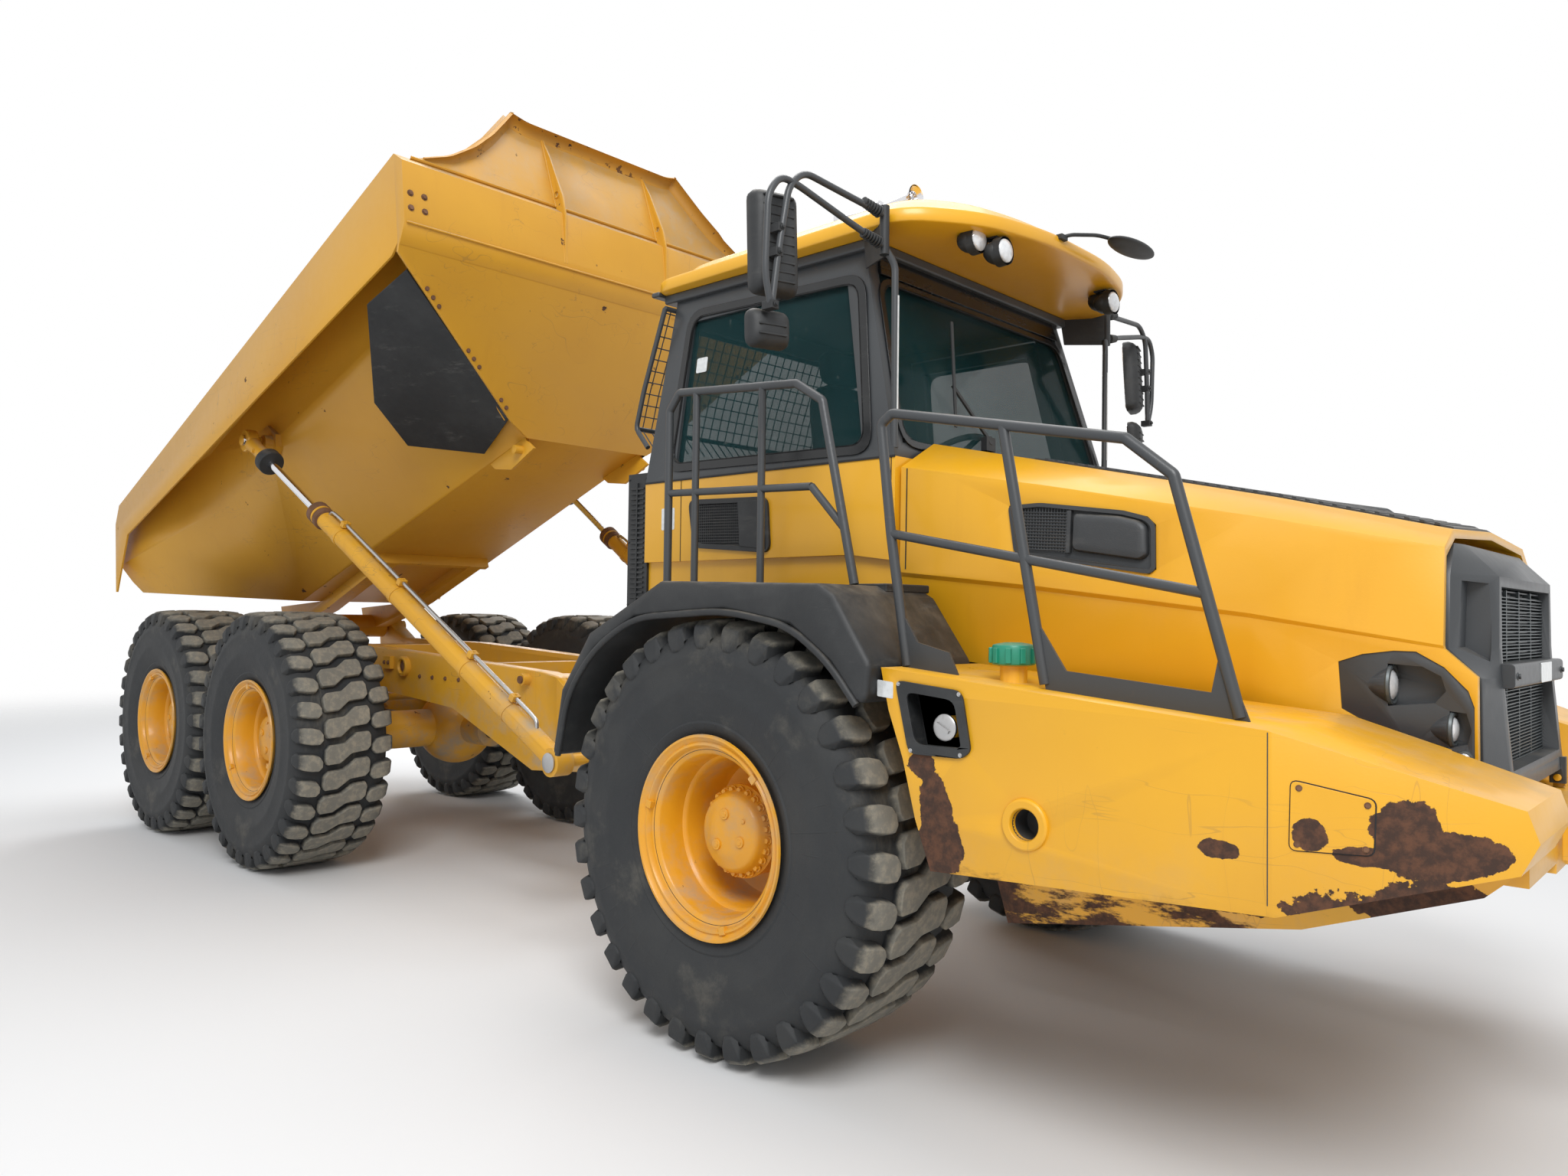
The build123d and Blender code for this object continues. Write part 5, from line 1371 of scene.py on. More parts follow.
@dataclass
class Trim:
    """Shared work of the classes that add fittings to a body."""

    finishes: Finishes
    body: str = "front_frame"

    def mesh(self, bend: Callable[[Vector], Vector] | None = None) -> Mesh:
        """Starts a mesh whose points are measured from the front axle."""
        return Mesh(FROM_AXLE, bend)

    def hang(self, mesh: Mesh, name: str, finish: str, *nodes: str, bevel: float = 0.0,
             body: str = "") -> bpy.types.Object:
        """Finishes a mesh and hangs it on the body.

        Args:
            mesh: The mesh.
            name: The piece's name.
            finish: The finish's name.
            nodes: The nodes that it replaces.
            bevel: The rounding of its edges.
            body: The body, where it isn't this class's own.

        Returns:
            The piece.
        """
        piece = mesh.finish(name, self.finishes[finish], bevel)
        return ride(piece, body or self.body, self.finishes.slots[finish], *nodes)

    def pipes(self, name: str, runs: Sequence[Sequence[Sequence[float]]], radius: float, finish: str,
              bend: float = 0.05, body: str = "", slot: str = "") -> bpy.types.Object:
        """Hangs a set of bent tubes as one piece.

        Args:
            name: The piece's name.
            runs: The corners of each tube.
            radius: The tubes' own radius.
            finish: The finish's name.
            bend: The radius of their corners.
            body: The body, where it isn't this class's own.
            slot: The material slot, where it isn't the finish's own.

        Returns:
            The piece.
        """
        curve = bpy.data.curves.new(name, "CURVE")
        curve.dimensions = "3D"
        curve.bevel_depth = radius
        curve.bevel_resolution = 4
        curve.use_fill_caps = True
        for run in runs:
            points = [Vector(point) for point in run]
            bends = [point for trio in zip(points, points[1:], points[2:]) for point in corner(*trio, bend)]
            knots = [points[0], *bends, points[-1]]
            line = curve.splines.new("POLY")
            line.points.add(len(knots) - 1)
            for knot, point in zip(line.points, knots):
                knot.co = (*point, 1.0)
        holder = placed(name + "_run", curve)
        data = bpy.data.meshes.new_from_object(holder)
        bpy.data.objects.remove(holder)
        bpy.data.curves.remove(curve)
        data.name = name
        data.transform(FROM_AXLE)
        data.materials.clear()
        data.materials.append(self.finishes[finish])
        for face in data.polygons:
            face.use_smooth = True
        return ride(placed(name, data), body or self.body, slot or self.finishes.slots[finish])

@dataclass
class CabTrim(Trim):
    """The cab's roof, window frames, mirrors, lamps, guards, vents and inside."""

    waist: float = 2.24
    height: float = 0.87
    side_window: tuple[Flat, ...] = ((-0.868, 2.322), (0.262, 2.302), (0.158, 2.975), (-0.822, 3.005))
    front_window: tuple[Flat, ...] = ((-0.80, 2.315), (0.80, 2.315), (0.715, 2.985), (-0.715, 2.985))
    door_window: tuple[Flat, ...] = ((-0.615, 2.30), (0.155, 2.30), (0.032, 2.965), (-0.615, 2.965))
    rear_window: tuple[Flat, ...] = ((-0.75, 2.345), (0.75, 2.345), (0.675, 2.985), (-0.675, 2.985))
    eave: tuple[Flat, ...] = ((-1.075, -0.85), (0.43, -0.885), (0.64, -0.60), (0.72, -0.25), (0.72, 0.25),
                              (0.64, 0.60), (0.43, 0.885), (-1.075, 0.85))
    lamps: tuple[Point, ...] = ((0.533, 0.548, 3.126), (0.603, 0.465, 3.085))
    fullness: float = 0.52
    seam: float = 0.62

    def rise(self, z: float) -> float:
        """Gives how far up the tapering part a height lies, from 0 to 1."""
        return max(z - self.waist, 0.0) / self.height

    def on_side(self, side: Side) -> Callable[[Vector], Vector]:
        """Gives the bend that lays (x, depth, z) on the cab's side."""
        return lambda p: Vector((p.x, side.value * (0.88 - self.rise(p.z) * 0.105 + p.y), p.z))

    def on_front(self, p: Vector) -> Vector:
        """Lays (depth, y, z) on the cab's front."""
        return Vector((0.42 - self.rise(p.z) * 0.24 + p.x, p.y, p.z))

    def on_rear(self, p: Vector) -> Vector:
        """Lays (depth, y, z) on the cab's rear."""
        return Vector((-1.05 + self.rise(p.z) * 0.09 - p.x, p.y, p.z))

    def roof(self) -> None:
        """Builds the crowned roof with its visor and the plinth under it."""
        levels = ((3.148, 0.20), (3.148, 0.014), (3.152, 0.004), (3.162, 0.0), (3.196, 0.0), (3.207, 0.006),
                  (3.214, 0.022), (3.222, 0.06), (3.244, 0.09), (3.272, 0.115), (3.290, 0.145), (3.300, 0.20),
                  (3.309, 0.32), (3.314, 0.50))
        shell = self.mesh()
        rows = [[(x, y, z) for x, y in rounded(grown(self.eave, -inset), 0.14, 6)] for z, inset in levels]
        shell.grid(rows, True, True)
        shell.lid(rows[-1], True)
        shell.lid(rows[0])
        for y in (-0.42, 0.0, 0.42):
            shell.slab((-0.42, y, 3.312), (0.86, 0.11, 0.016))
        self.hang(shell, "roof_shell", "hood_yellow", "cab_roof", bevel=0.004)
        plinth = self.mesh().box((-1.03, -0.80, 3.105), (0.22, 0.80, 3.15))
        plinth.box((-1.075, -0.845, 3.135), (-1.02, 0.845, 3.16))
        self.hang(plinth, "roof_plinth", "frame_grey", bevel=0.01)

    def windows(self) -> None:
        """Adds the bonded dark borders, the seals and the black header of the windows."""
        right, left = self.on_side(Side.RIGHT), self.on_side(Side.LEFT)
        borders = (
            ("border_right", "gloss_black", right, (self.side_window, 0.042, 0.007, 0.07, 0.001), ""),
            ("seal_right", "seal_rubber", right, (self.side_window, 0.009, 0.012, 0.07, -0.004), ""),
            ("border_front", "gloss_black", self.on_front, (self.front_window, 0.03, 0.008, 0.09, 0.001, True), ""),
            ("seal_front", "seal_rubber", self.on_front, (self.front_window, 0.010, 0.013, 0.09, -0.004, True), ""),
            ("border_rear", "gloss_black", self.on_rear, (self.rear_window, 0.03, 0.008, 0.07, 0.001, True), ""),
            ("border_door", "gloss_black", left, (self.door_window, 0.035, 0.007, 0.07, 0.001), "cab_door"),
        )
        header = ((-0.72, 3.02), (0.72, 3.02), (0.70, 3.11), (-0.70, 3.11))
        for name, finish, bend, sizes, body in borders:
            border = self.mesh(bend).frame(*sizes)
            if name == "border_front":
                border.plate(crosswise(header, 0.001), (0.014, 0, 0))
            self.hang(border, "window_" + name, finish, bevel=0.002, body=body)
        handle = self.mesh(left)
        handle.plate(upright([(0.02, 2.10), (0.19, 2.10), (0.19, 2.19), (0.02, 2.19)], 0.001), (0, 0.008, 0))
        handle.box((0.04, 0.02, 2.135), (0.17, 0.034, 2.155)).box((0.04, 0.005, 2.135), (0.055, 0.03, 2.155))
        handle.box((0.155, 0.005, 2.135), (0.17, 0.03, 2.155))
        self.hang(handle, "door_handle", "black_plastic", bevel=0.004, body="cab_door")

    def lights(self) -> None:
        """Adds the four oval work lamps under the visor."""
        cases, lenses = self.mesh(), self.mesh()
        for x, y, z in self.lamps:
            for side in Side:
                place = side.value * y
                cases.ball((x, place, z), (0.052, 0.062, 0.045), 24)
                cases.rod((x + 0.005, place, z), (x + 0.044, place, z), 0.058, 28, 0.056)
                cases.rod((x - 0.02, place, z), (x - 0.02, place, 3.152), 0.009, 12)
                cases.box((x - 0.05, place - 0.02, 3.140), (x + 0.01, place + 0.02, 3.152))
                lenses.ball((x + 0.040, place, z), (0.017, 0.050, 0.047), 24)
        self.hang(cases, "roof_lamp_cases", "black_plastic", "roof_lamps", bevel=0.003)
        self.hang(lenses, "roof_lamp_lenses", "lamp_glass")

    def mirror_set(self, side: Side) -> None:
        """Adds one side's mirror arms, heads and clamps.

        Args:
            side: The side.
        """
        word, s = side.word, side.value
        arms = [
            [(0.385, s * 0.92, 3.045), (0.365, s * 1.10, 3.09), (0.356, s * 1.38, 3.15), (0.356, s * 1.47, 3.155),
             (0.352, s * 1.525, 3.08), (0.344, s * 1.528, 2.80), (0.340, s * 1.49, 2.69)],
            [(0.385, s * 0.92, 3.165), (0.365, s * 1.12, 3.188), (0.358, s * 1.35, 3.205), (0.356, s * 1.425, 3.135),
             (0.348, s * 1.465, 2.90), (0.340, s * 1.49, 2.69)],
        ]
        self.pipes(f"mirror_arms_{word}", arms, 0.0125, "frame_grey", 0.07)
        clamps = self.mesh()
        clamps.rod((0.385, s * 0.915, 3.01), (0.385, s * 0.915, 3.20), 0.019, 20)
        clamps.plate([(0.21, s * 0.80, 3.02), (0.40, s * 0.905, 3.01), (0.40, s * 0.905, 3.20),
                      (0.19, s * 0.79, 3.17)], (0.0, s * 0.01, 0.0))
        for z in (3.05, 3.168):
            for step in range(7):
                start = Vector((0.383 - step * 0.0016, s * (0.945 + step * 0.013), z + step * 0.0030))
                clamps.rod(start, start + Vector((-0.001, s * 0.0075, 0.0018)), 0.024 - step * 0.0008, 18)
        for y, z in ((1.46, 2.977), (1.471, 2.888), (1.49, 2.70)):
            clamps.slab((0.335, s * y, z), (0.05, 0.036, 0.03)).bolt((0.362, s * y, z), (1, 0, 0), 0.007, 0.008)
        self.hang(clamps, f"mirror_clamps_{word}", "black_plastic",
                  *(("mirrors",) if side is Side.RIGHT else ()), bevel=0.003)
        turn = Matrix.Rotation(s * 0.30, 4, "Z") @ Matrix.Rotation(-0.06, 4, "Y")
        for name, centre, size in (("tall", (0.290, s * 1.425, 2.945), (0.075, 0.185, 0.375)),
                                   ("wide", (0.292, s * 1.45, 2.635), (0.065, 0.165, 0.135))):
            place = FROM_AXLE @ Matrix.Translation(centre) @ turn
            flat = [(-size[1] / 2, -size[2] / 2), (size[1] / 2, -size[2] / 2), (size[1] / 2, size[2] / 2),
                    (-size[1] / 2, size[2] / 2)]
            levels = ((-0.5, -0.010), (-0.5, -0.002), (-0.46, 0.0), (-0.1, 0.0), (0.2, -0.008), (0.4, -0.022),
                      (0.5, -0.045))
            case = Mesh(place)
            rows = [crosswise(rounded(grown(flat, inset), 0.035, 5), share * size[0]) for share, inset in levels]
            case.grid(rows, True, True).lid(rows[-1], True).lid(rows[0])
            for step in range(int(size[2] / 0.034) - 1):
                z = -size[2] / 2 + 0.038 + step * 0.034
                case.slab((size[0] * 0.46, 0, z), (0.012, size[1] * 0.66, 0.007))
            self.hang(case, f"mirror_case_{name}_{word}", "black_plastic", bevel=0.002)
            glass = Mesh(place)
            pane = crosswise(rounded(grown(flat, -0.012), 0.028, 5), -size[0] / 2 - 0.001)
            glass.plate(pane, (-0.003, 0, 0))
            self.hang(glass, f"mirror_glass_{name}_{word}", "chrome", bevel=0.001)

    def front_fittings(self) -> None:
        """Adds the wiper, the stay bars, the visor's mirror and the horns."""
        wiper = self.mesh()
        wiper.rod((0.372, -0.188, 2.382), (0.41, -0.188, 2.386), 0.019, 20)
        wiper.slab((0.395, -0.188, 2.37), (0.03, 0.07, 0.06))
        wiper.prism([(0.398, -0.200, 2.382), (0.398, -0.176, 2.382), (0.342, -0.383, 2.600),
                     (0.342, -0.400, 2.594)], (0.010, 0, 0.003))
        wiper.prism([(0.335, -0.400, 2.87), (0.335, -0.383, 2.87), (0.362, -0.383, 2.42),
                     (0.362, -0.400, 2.42)], (0.008, 0, 0))
        self.hang(wiper, "wiper", "black_plastic", bevel=0.002)
        bars = [[(0.402, side.value * 0.862, 2.275), (0.402, side.value * 0.868, 2.98),
                 (0.385, side.value * 0.90, 3.03)] for side in Side]
        self.pipes("pillar_bars", bars, 0.014, "frame_grey", 0.03)
        # Thin pale strips down the front of the pillar bars, in the pale label finish: a painted highlight standing
        # for the bright reflection line of the round bars
        bar_highlights = self.mesh()
        for side in Side:
            bar_highlights.box((0.4155, side.value * 0.864 - 0.004, 2.42), (0.4175, side.value * 0.864 + 0.004, 2.86))
        self.hang(bar_highlights, "pillar_strips", "pale_label")
        self.pipes("visor_mirror_arm", [[(0.70, -0.156, 3.20), (0.745, -0.13, 3.215), (0.80, 0.0, 3.235),
                                         (0.85, 0.10, 3.225)]], 0.008, "black_plastic", 0.03)
        head = self.mesh().ball((0.855, 0.20, 3.22), (0.065, 0.18, 0.020), 32)
        head.box((0.68, -0.18, 3.19), (0.735, -0.13, 3.212))
        self.hang(head, "visor_mirror", "black_plastic", bevel=0.003)
        horns = self.mesh()
        bell = [(0.052, 0.0), (0.050, -0.004), (0.034, -0.018), (0.023, -0.045), (0.016, -0.10), (0.012, -0.20),
                (0.010, -0.21), (0.010, -0.20), (0.030, -0.015), (0.046, -0.001)]
        horns.spun(bell, (0.23, -0.5, 3.395), (1, 0, 0), 36)
        horns.spun([(radius * 0.62, far) for radius, far in bell[:7]], (-0.20, -0.5, 3.398), (-1, 0, 0), 36)
        for start, end, radius, sides in (((-0.02, 3.397), (0.04, 3.397), 0.030, 24),
                                          ((0.03, 3.397), (0.05, 3.397), 0.022, 24),
                                          ((0.01, 3.30), (0.01, 3.38), 0.012, 16),
                                          ((0.163, 3.29), (0.163, 3.385), 0.008, 16)):
            horns.rod((start[0], -0.5, start[1]), (end[0], -0.5, end[1]), radius, sides)
        horns.slab((0.01, -0.5, 3.314), (0.07, 0.05, 0.008))
        self.hang(horns, "horns", "chrome", "horn")

    def rear_guard(self) -> None:
        """Adds the wire guard behind the cab and the grid of the box beneath it."""
        profile = ((-0.965, 3.07), (-1.11, 2.70), (-1.165, 2.52), (-1.075, 2.42))
        frame_run = [[(x - 0.01, -0.84, z) for x, z in profile], [(x - 0.01, 0.84, z) for x, z in profile],
                     [(profile[0][0] - 0.01, -0.84, 3.07), (profile[0][0] - 0.01, 0.84, 3.07)],
                     [(profile[2][0] - 0.01, -0.84, 2.52), (profile[2][0] - 0.01, 0.84, 2.52)]]
        self.pipes("rear_guard_frame", frame_run, 0.012, "frame_grey", 0.03)
        wires = self.mesh()
        for step in range(30):
            y = -0.80 + step * 0.0552
            for (x0, z0), (x1, z1) in zip(profile, profile[1:]):
                wires.rod((x0 - 0.012, y, z0), (x1 - 0.012, y, z1), 0.003, 6)
        for step in range(11):
            share = step / 10
            x, z = profile[0][0] + (profile[2][0] - profile[0][0]) * share, 3.05 - 0.52 * share
            wires.rod((x - 0.016, -0.83, z), (x - 0.016, 0.83, z), 0.003, 6)
        self.hang(wires, "rear_guard_wires", "frame_grey")
        box = self.mesh().box((-1.195, -0.865, 1.645), (-1.052, -0.355, 2.295))
        for step in range(23):
            z = 1.70 + step * 0.0235
            box.box((-1.17, -0.872, z), (-1.075, -0.862, z + 0.010))
            box.box((-1.202, -0.83, z), (-1.192, -0.39, z + 0.010))
        for z in (1.67, 1.97, 2.27):
            for x in (-1.185, -1.062):
                box.bolt((x, -0.865, z), (0, -1, 0), 0.006, 0.005)
        box.box((-1.126, -0.874, 1.69), (-1.118, -0.862, 2.25))
        self.hang(box, "louvre_box", "black_plastic", "intake_box", bevel=0.003)

    def side_panel(self) -> None:
        """Adds the lower side's vent, its mesh, the seams and the blank labels."""
        wall = self.on_side(Side.RIGHT)
        outline = ((-0.737, 2.143), (-0.243, 2.128), (-0.225, 1.888), (-0.700, 1.925))
        bezel = self.mesh(wall)
        bezel.frame(grown(outline, -0.022), 0.022, 0.014, 0.03)
        bezel.plate(upright([(-0.415, 2.118), (-0.262, 2.112), (-0.248, 1.905), (-0.400, 1.922)], 0.0),
                    (0, 0.018, 0))
        self.hang(bezel, "side_vent_bezel", "black_plastic", bevel=0.004)
        # A near-black sheet laid on the wall behind the mesh, in the seal rubber finish: painted shade standing for
        # the dark inside of the vent
        vent_shade_sheet = self.mesh(wall).plate(upright(grown(outline, -0.02), 0.001), (0, 0.001, 0))
        self.hang(vent_shade_sheet, "side_vent_back", "seal_rubber")
        wires = self.mesh(wall)
        for step in range(25):
            x = -0.712 + step * 0.0125
            wires.rod((x, 0.006, 1.935), (x - 0.004, 0.006, 2.128), 0.0016, 5)
        for step in range(16):
            z = 1.936 + step * 0.0125
            wires.rod((-0.715, 0.008, z), (-0.412, 0.008, z - 0.008), 0.0016, 5)
        self.hang(wires, "side_vent_mesh", "dark_plate")
        labels = self.mesh(wall)
        for tag, depth in ((((-0.93, 2.014), (-0.84, 2.014), (-0.84, 2.115), (-0.93, 2.115)), 0.0005),
                           (((-0.79, 2.74), (-0.72, 2.74), (-0.72, 2.81), (-0.79, 2.81)), -0.0135)):
            labels.plate(upright(rounded(tag, 0.008, 3), depth), (0, 0.001, 0))
        self.hang(labels, "cab_labels", "pale_label")
        seams = self.mesh(wall)
        seams.box((0.400, -0.002, 1.86), (0.404, 0.0012, 2.24)).box((-1.05, -0.002, 2.236), (0.42, 0.004, 2.244))
        seams.box((-0.80, -0.002, 1.868), (-0.796, 0.0012, 2.24))
        self.hang(seams, "cab_seams", "seal_rubber")

    def inside(self) -> None:
        """Lines the cab and fits the seat, the console and the armrests."""
        lining = self.mesh()
        for low, high in (((-1.003, -0.832, 1.746), (0.372, 0.832, 1.752)),
                          ((-1.003, -0.832, 1.75), (0.372, -0.826, 2.25)),
                          ((-1.003, -0.832, 1.75), (-0.997, 0.832, 2.33)),
                          ((0.366, -0.832, 1.75), (0.372, 0.832, 2.27)),
                          ((-1.003, 0.826, 1.75), (-0.705, 0.832, 2.25)),
                          ((0.255, 0.826, 1.75), (0.372, 0.832, 2.25)),
                          ((-0.90, -0.70, 3.085), (0.12, 0.70, 3.105))):
            lining.box(low, high)
        self.hang(lining, "cab_lining", "dark_plate")
        panel = self.mesh().box((-0.685, 0.822, 1.815), (0.235, 0.833, 2.25))
        self.hang(panel, "door_lining", "dark_plate", bevel=0.004, body="cab_door")
        cushions = (
            ("seat_cushion", (-0.325, 0.0, 2.135), (0.215, 0.245, 0.072), 0.0),
            ("seat_back", (-0.545, 0.0, 2.47), (0.058, 0.235, 0.31), -0.16),
            ("seat_headrest", (-0.60, 0.0, 2.865), (0.042, 0.135, 0.085), -0.12),
        )
        for name, centre, reach, lean in cushions:
            pad = Mesh(FROM_AXLE @ Matrix.Translation(centre) @ Matrix.Rotation(lean, 4, "Y"))
            pad.ball((0, 0, 0), reach, 48)
            for vertex in pad.shape.verts:
                for axis in range(3):
                    share = vertex.co[axis] / reach[axis]
                    vertex.co[axis] = math.copysign(abs(share) ** self.fullness, share) * reach[axis]
                if abs(abs(vertex.co.y) - reach[1] * self.seam) < reach[1] * 0.05:
                    vertex.co *= 0.975
            replaced = ("operator_seat",) if name == "seat_cushion" else ()
            piece = self.hang(pad, name, "seat_cloth", *replaced)
        base = self.mesh()
        for low, high in (((-0.47, -0.19, 1.752), (-0.17, 0.19, 1.80)), ((-0.42, -0.13, 1.80), (-0.22, 0.13, 2.0)),
                          ((-0.53, -0.22, 2.0), (-0.13, 0.22, 2.06)), ((-0.52, -0.52, 1.752), (-0.02, -0.36, 2.22)),
                          ((-0.30, -0.50, 2.22), (-0.06, -0.38, 2.25))):
            base.box(low, high)
        for side in Side:
            base.box((-0.50, side.value * 0.30 - 0.035, 2.285), (-0.16, side.value * 0.30 + 0.035, 2.315))
            base.rod((-0.52, side.value * 0.26, 2.30), (-0.52, side.value * 0.33, 2.30), 0.022, 16)
            base.rod((-0.60, side.value * 0.05, 2.70), (-0.60, side.value * 0.05, 2.80), 0.007, 10)
        base.rod((-0.12, -0.44, 2.24), (-0.10, -0.44, 2.36), 0.008, 12)
        base.ball((-0.10, -0.44, 2.37), (0.02, 0.02, 0.03), 16)
        self.hang(base, "seat_base", "black_plastic", bevel=0.008)

    def build(self) -> None:
        """Adds every fitting of the cab."""
        self.roof()
        self.windows()
        self.lights()
        for side in Side:
            self.mirror_set(side)
        self.front_fittings()
        self.rear_guard()
        self.side_panel()
        self.inside()


@dataclass
class HoodTrim(Trim):
    """The hood's vents, lamps, top strip and the fine fins of its grille."""

    body: str = "hood"
    form: tuple[tuple[float, tuple[Flat, ...]], ...] = (
        (0.436, ((0.850, 1.500), (0.852, 1.780), (0.866, 1.796), (0.862, 2.197), (0.650, 2.312), (0.0, 2.335))),
        (1.000, ((0.803, 1.433), (0.805, 1.722), (0.819, 1.738), (0.797, 2.094), (0.620, 2.185), (0.0, 2.210))),
        (1.690, ((0.735, 1.327), (0.741, 1.636), (0.752, 1.650), (0.712, 1.955), (0.560, 2.030), (0.0, 2.055))),
        (2.284, ((0.640, 1.150), (0.648, 1.540), (0.654, 1.548), (0.638, 1.826), (0.540, 1.880), (0.0, 1.905))),
    )
    vent: tuple[Flat, ...] = ((0.880, 2.026), (0.908, 1.864), (0.925, 1.848), (1.385, 1.775), (1.406, 1.790),
                              (1.398, 1.938), (1.370, 1.966), (1.290, 1.990), (1.000, 2.030))
    box: tuple[Flat, ...] = ((1.118, 1.990), (1.118, 1.858), (1.352, 1.820), (1.378, 1.838), (1.370, 1.935),
                             (1.345, 1.955), (1.275, 1.974))
    bowls: tuple[tuple[float, float, float, float], ...] = ((2.064, 0.650, 1.444, 0.058),
                                                            (2.216, 0.632, 1.324, 0.049))

    def section(self, x: float) -> list[Vector]:
        """Gives the hood's corners at a distance along the machine, from the lower edge to the middle."""
        for (near, first), (far, second) in zip(self.form, self.form[1:]):
            if x <= far or far == self.form[-1][0]:
                share = min(max((x - near) / (far - near), 0.0), 1.0)
                return [Vector(a).lerp(Vector(b), share) for a, b in zip(first, second)]
        return []

    def on_side(self, side: Side) -> Callable[[Vector], Vector]:
        """Gives the bend that lays (x, depth, z) on the hood's side."""
        def bend(p: Vector) -> Vector:
            """Lays one point on the side."""
            half = mixed(p.z, [(point.y, point.x) for point in self.section(p.x)[:4]])
            return Vector((p.x, side.value * (half + p.y), p.z))
        return bend

    def on_top(self, p: Vector) -> Vector:
        """Lays (x, y, depth) on the hood's top."""
        step, middle = self.section(p.x)[4:]
        share = abs(p.y) / step.x
        return Vector((p.x, p.y, middle.y + (step.y - middle.y) * share + p.z))

    def vents(self) -> None:
        """Builds the side vents: a bezel, a wire mesh and a raised smooth box."""
        for side in Side:
            wall = self.on_side(side)
            bezel = self.mesh(wall)
            outer = upright(rounded(self.vent, 0.02, 4), -0.006)
            inner = upright(rounded(grown(self.vent, -0.014), 0.018, 4), -0.006)
            bezel.plate(outer, (0, 0.014, 0), [inner])
            bezel.plate(upright(self.vent, -0.014), (0, 0.004, 0))
            levels = ((-0.012, 0.0), (0.004, 0.002), (0.011, 0.007), (0.014, 0.016), (0.015, 0.03))
            rows = [upright(rounded(grown(self.box, -inset), 0.02, 4), depth) for depth, inset in levels]
            bezel.grid(rows, True, True).lid(rows[-1], True)
            bezel.box((1.098, -0.012, 1.852), (1.112, 0.006, 1.998))
            nodes = ("hood_vents",) if side is Side.RIGHT else ()
            self.hang(bezel, f"vent_{side.word}", "dark_plate", *nodes, bevel=0.002)
            wires = self.mesh(wall)
            for step in range(16):
                x = 0.930 + step * 0.0108
                low = 1.878 - (x - 0.93) * 0.16
                wires.rod((x, -0.004, low), (x, -0.004, 2.012), 0.0021, 6)
            for step in range(13):
                z = 1.872 + step * 0.0108
                wires.rod((0.915, -0.001, z), (1.10, -0.001, z - 0.012), 0.0021, 6)
            self.hang(wires, f"vent_mesh_{side.word}", "frame_grey")

    def lights(self) -> None:
        """Adds the lamps' rings, lenses and the small side lamps."""
        rings, lenses, cups = self.mesh(), self.mesh(), self.mesh()
        for x, y, z, reach in self.bowls:
            for side in Side:
                base = (x, side.value * y, z)
                rings.spun([(reach - 0.013, 0.002), (reach - 0.001, -0.002), (reach + 0.003, 0.003),
                            (reach + 0.001, 0.010), (reach - 0.005, 0.012), (reach - 0.012, 0.006),
                            (reach - 0.013, 0.002)], base, (1, 0, 0), 40)
                cups.spun([(0.0005, 0.004), (reach * 0.5, 0.005), (reach - 0.014, 0.008)], base, (1, 0, 0), 32)
                lenses.spun([(reach - 0.012, 0.006), (reach * 0.6, 0.014), (reach * 0.3, 0.019), (0.0005, 0.020)],
                            base, (1, 0, 0), 32)
        for side in Side:
            rings.spun([(0.016, -0.02), (0.022, 0.0), (0.020, 0.006), (0.015, 0.007)],
                       (2.252, side.value * 0.645, 1.246), (0, side.value, 0), 28)
            lenses.ball((2.252, side.value * 0.648, 1.246), (0.015, 0.008, 0.015), 20)
        self.hang(rings, "lamp_rings", "steel_grey")
        self.hang(cups, "lamp_cups", "steel")
        self.hang(lenses, "lamp_lenses", "lamp_glass")

    def top(self) -> None:
        """Adds the dark strip along the hood's top, with its cross ribs."""
        strip = self.mesh(self.on_top)
        across = [-0.5, -0.25, 0.0, 0.25, 0.5]
        rows = []
        for x, share in ((0.80, 1.0), (1.0, 1.0), (1.345, 1.0), (1.69, 1.0), (1.94, 0.97), (2.19, 0.93)):
            rows.append([(x, y * share, 0.006) for y in across] + [(x, y * share, -0.003) for y in across[::-1]])
        strip.grid(rows, False, True).lid(rows[0]).lid(rows[-1])
        for step in range(33):
            x = 0.83 + step * 0.041
            ring = [(y * 0.95, 0.004) for y in across] + [(y * 0.95, 0.011) for y in across[::-1]]
            ends = [[(x + wide, y, z) for y, z in ring] for wide in (0.0, 0.014)]
            strip.grid(ends, False, True).lid(ends[0]).lid(ends[1])
        self.hang(strip, "hood_top_strip", "dark_plate")

    def fins(self) -> None:
        """Adds the grille's fine fins, the crossbar's cover and its blank plate."""
        fins = self.mesh()
        for low, high in ((1.200, 1.437), (1.510, 1.730)):
            count = int((high - low) / 0.0105)
            for step in range(count):
                z = low + step * 0.0105
                fins.prism([(2.262, -0.409, z), (2.282, -0.409, z - 0.004), (2.282, -0.409, z - 0.001),
                            (2.262, -0.409, z + 0.003)], (0, 0.818, 0))
            for y in (-0.205, 0.0, 0.205):
                fins.box((2.256, y - 0.006, low - 0.004), (2.279, y + 0.006, high))
        self.hang(fins, "grille_fins", "steel_grey")
        bar = self.mesh()
        section = rounded([(2.245, 1.436), (2.338, 1.436), (2.338, 1.509), (2.245, 1.509)], 0.014, 4)
        bar.prism(upright(section, -0.432), (0, 0.864, 0))
        for side in Side:
            bar.bolt((2.338, side.value * 0.39, 1.472), (1, 0, 0), 0.009, 0.009)
        self.hang(bar, "grille_crossbar", "frame_grey", bevel=0.002)
        sign = rounded([(-0.01, 1.441), (0.18, 1.441), (0.18, 1.504), (-0.01, 1.504)], 0.006, 3)
        plate = self.mesh().plate(crosswise(sign, 2.338), (0.003, 0, 0))
        self.hang(plate, "grille_plate", "pale_label", bevel=0.001)
        seams = self.mesh(self.on_side(Side.RIGHT)).box((0.46, -0.002, 1.806), (0.464, 0.0015, 2.19))
        self.hang(seams, "hood_seam_right", "seal_rubber")

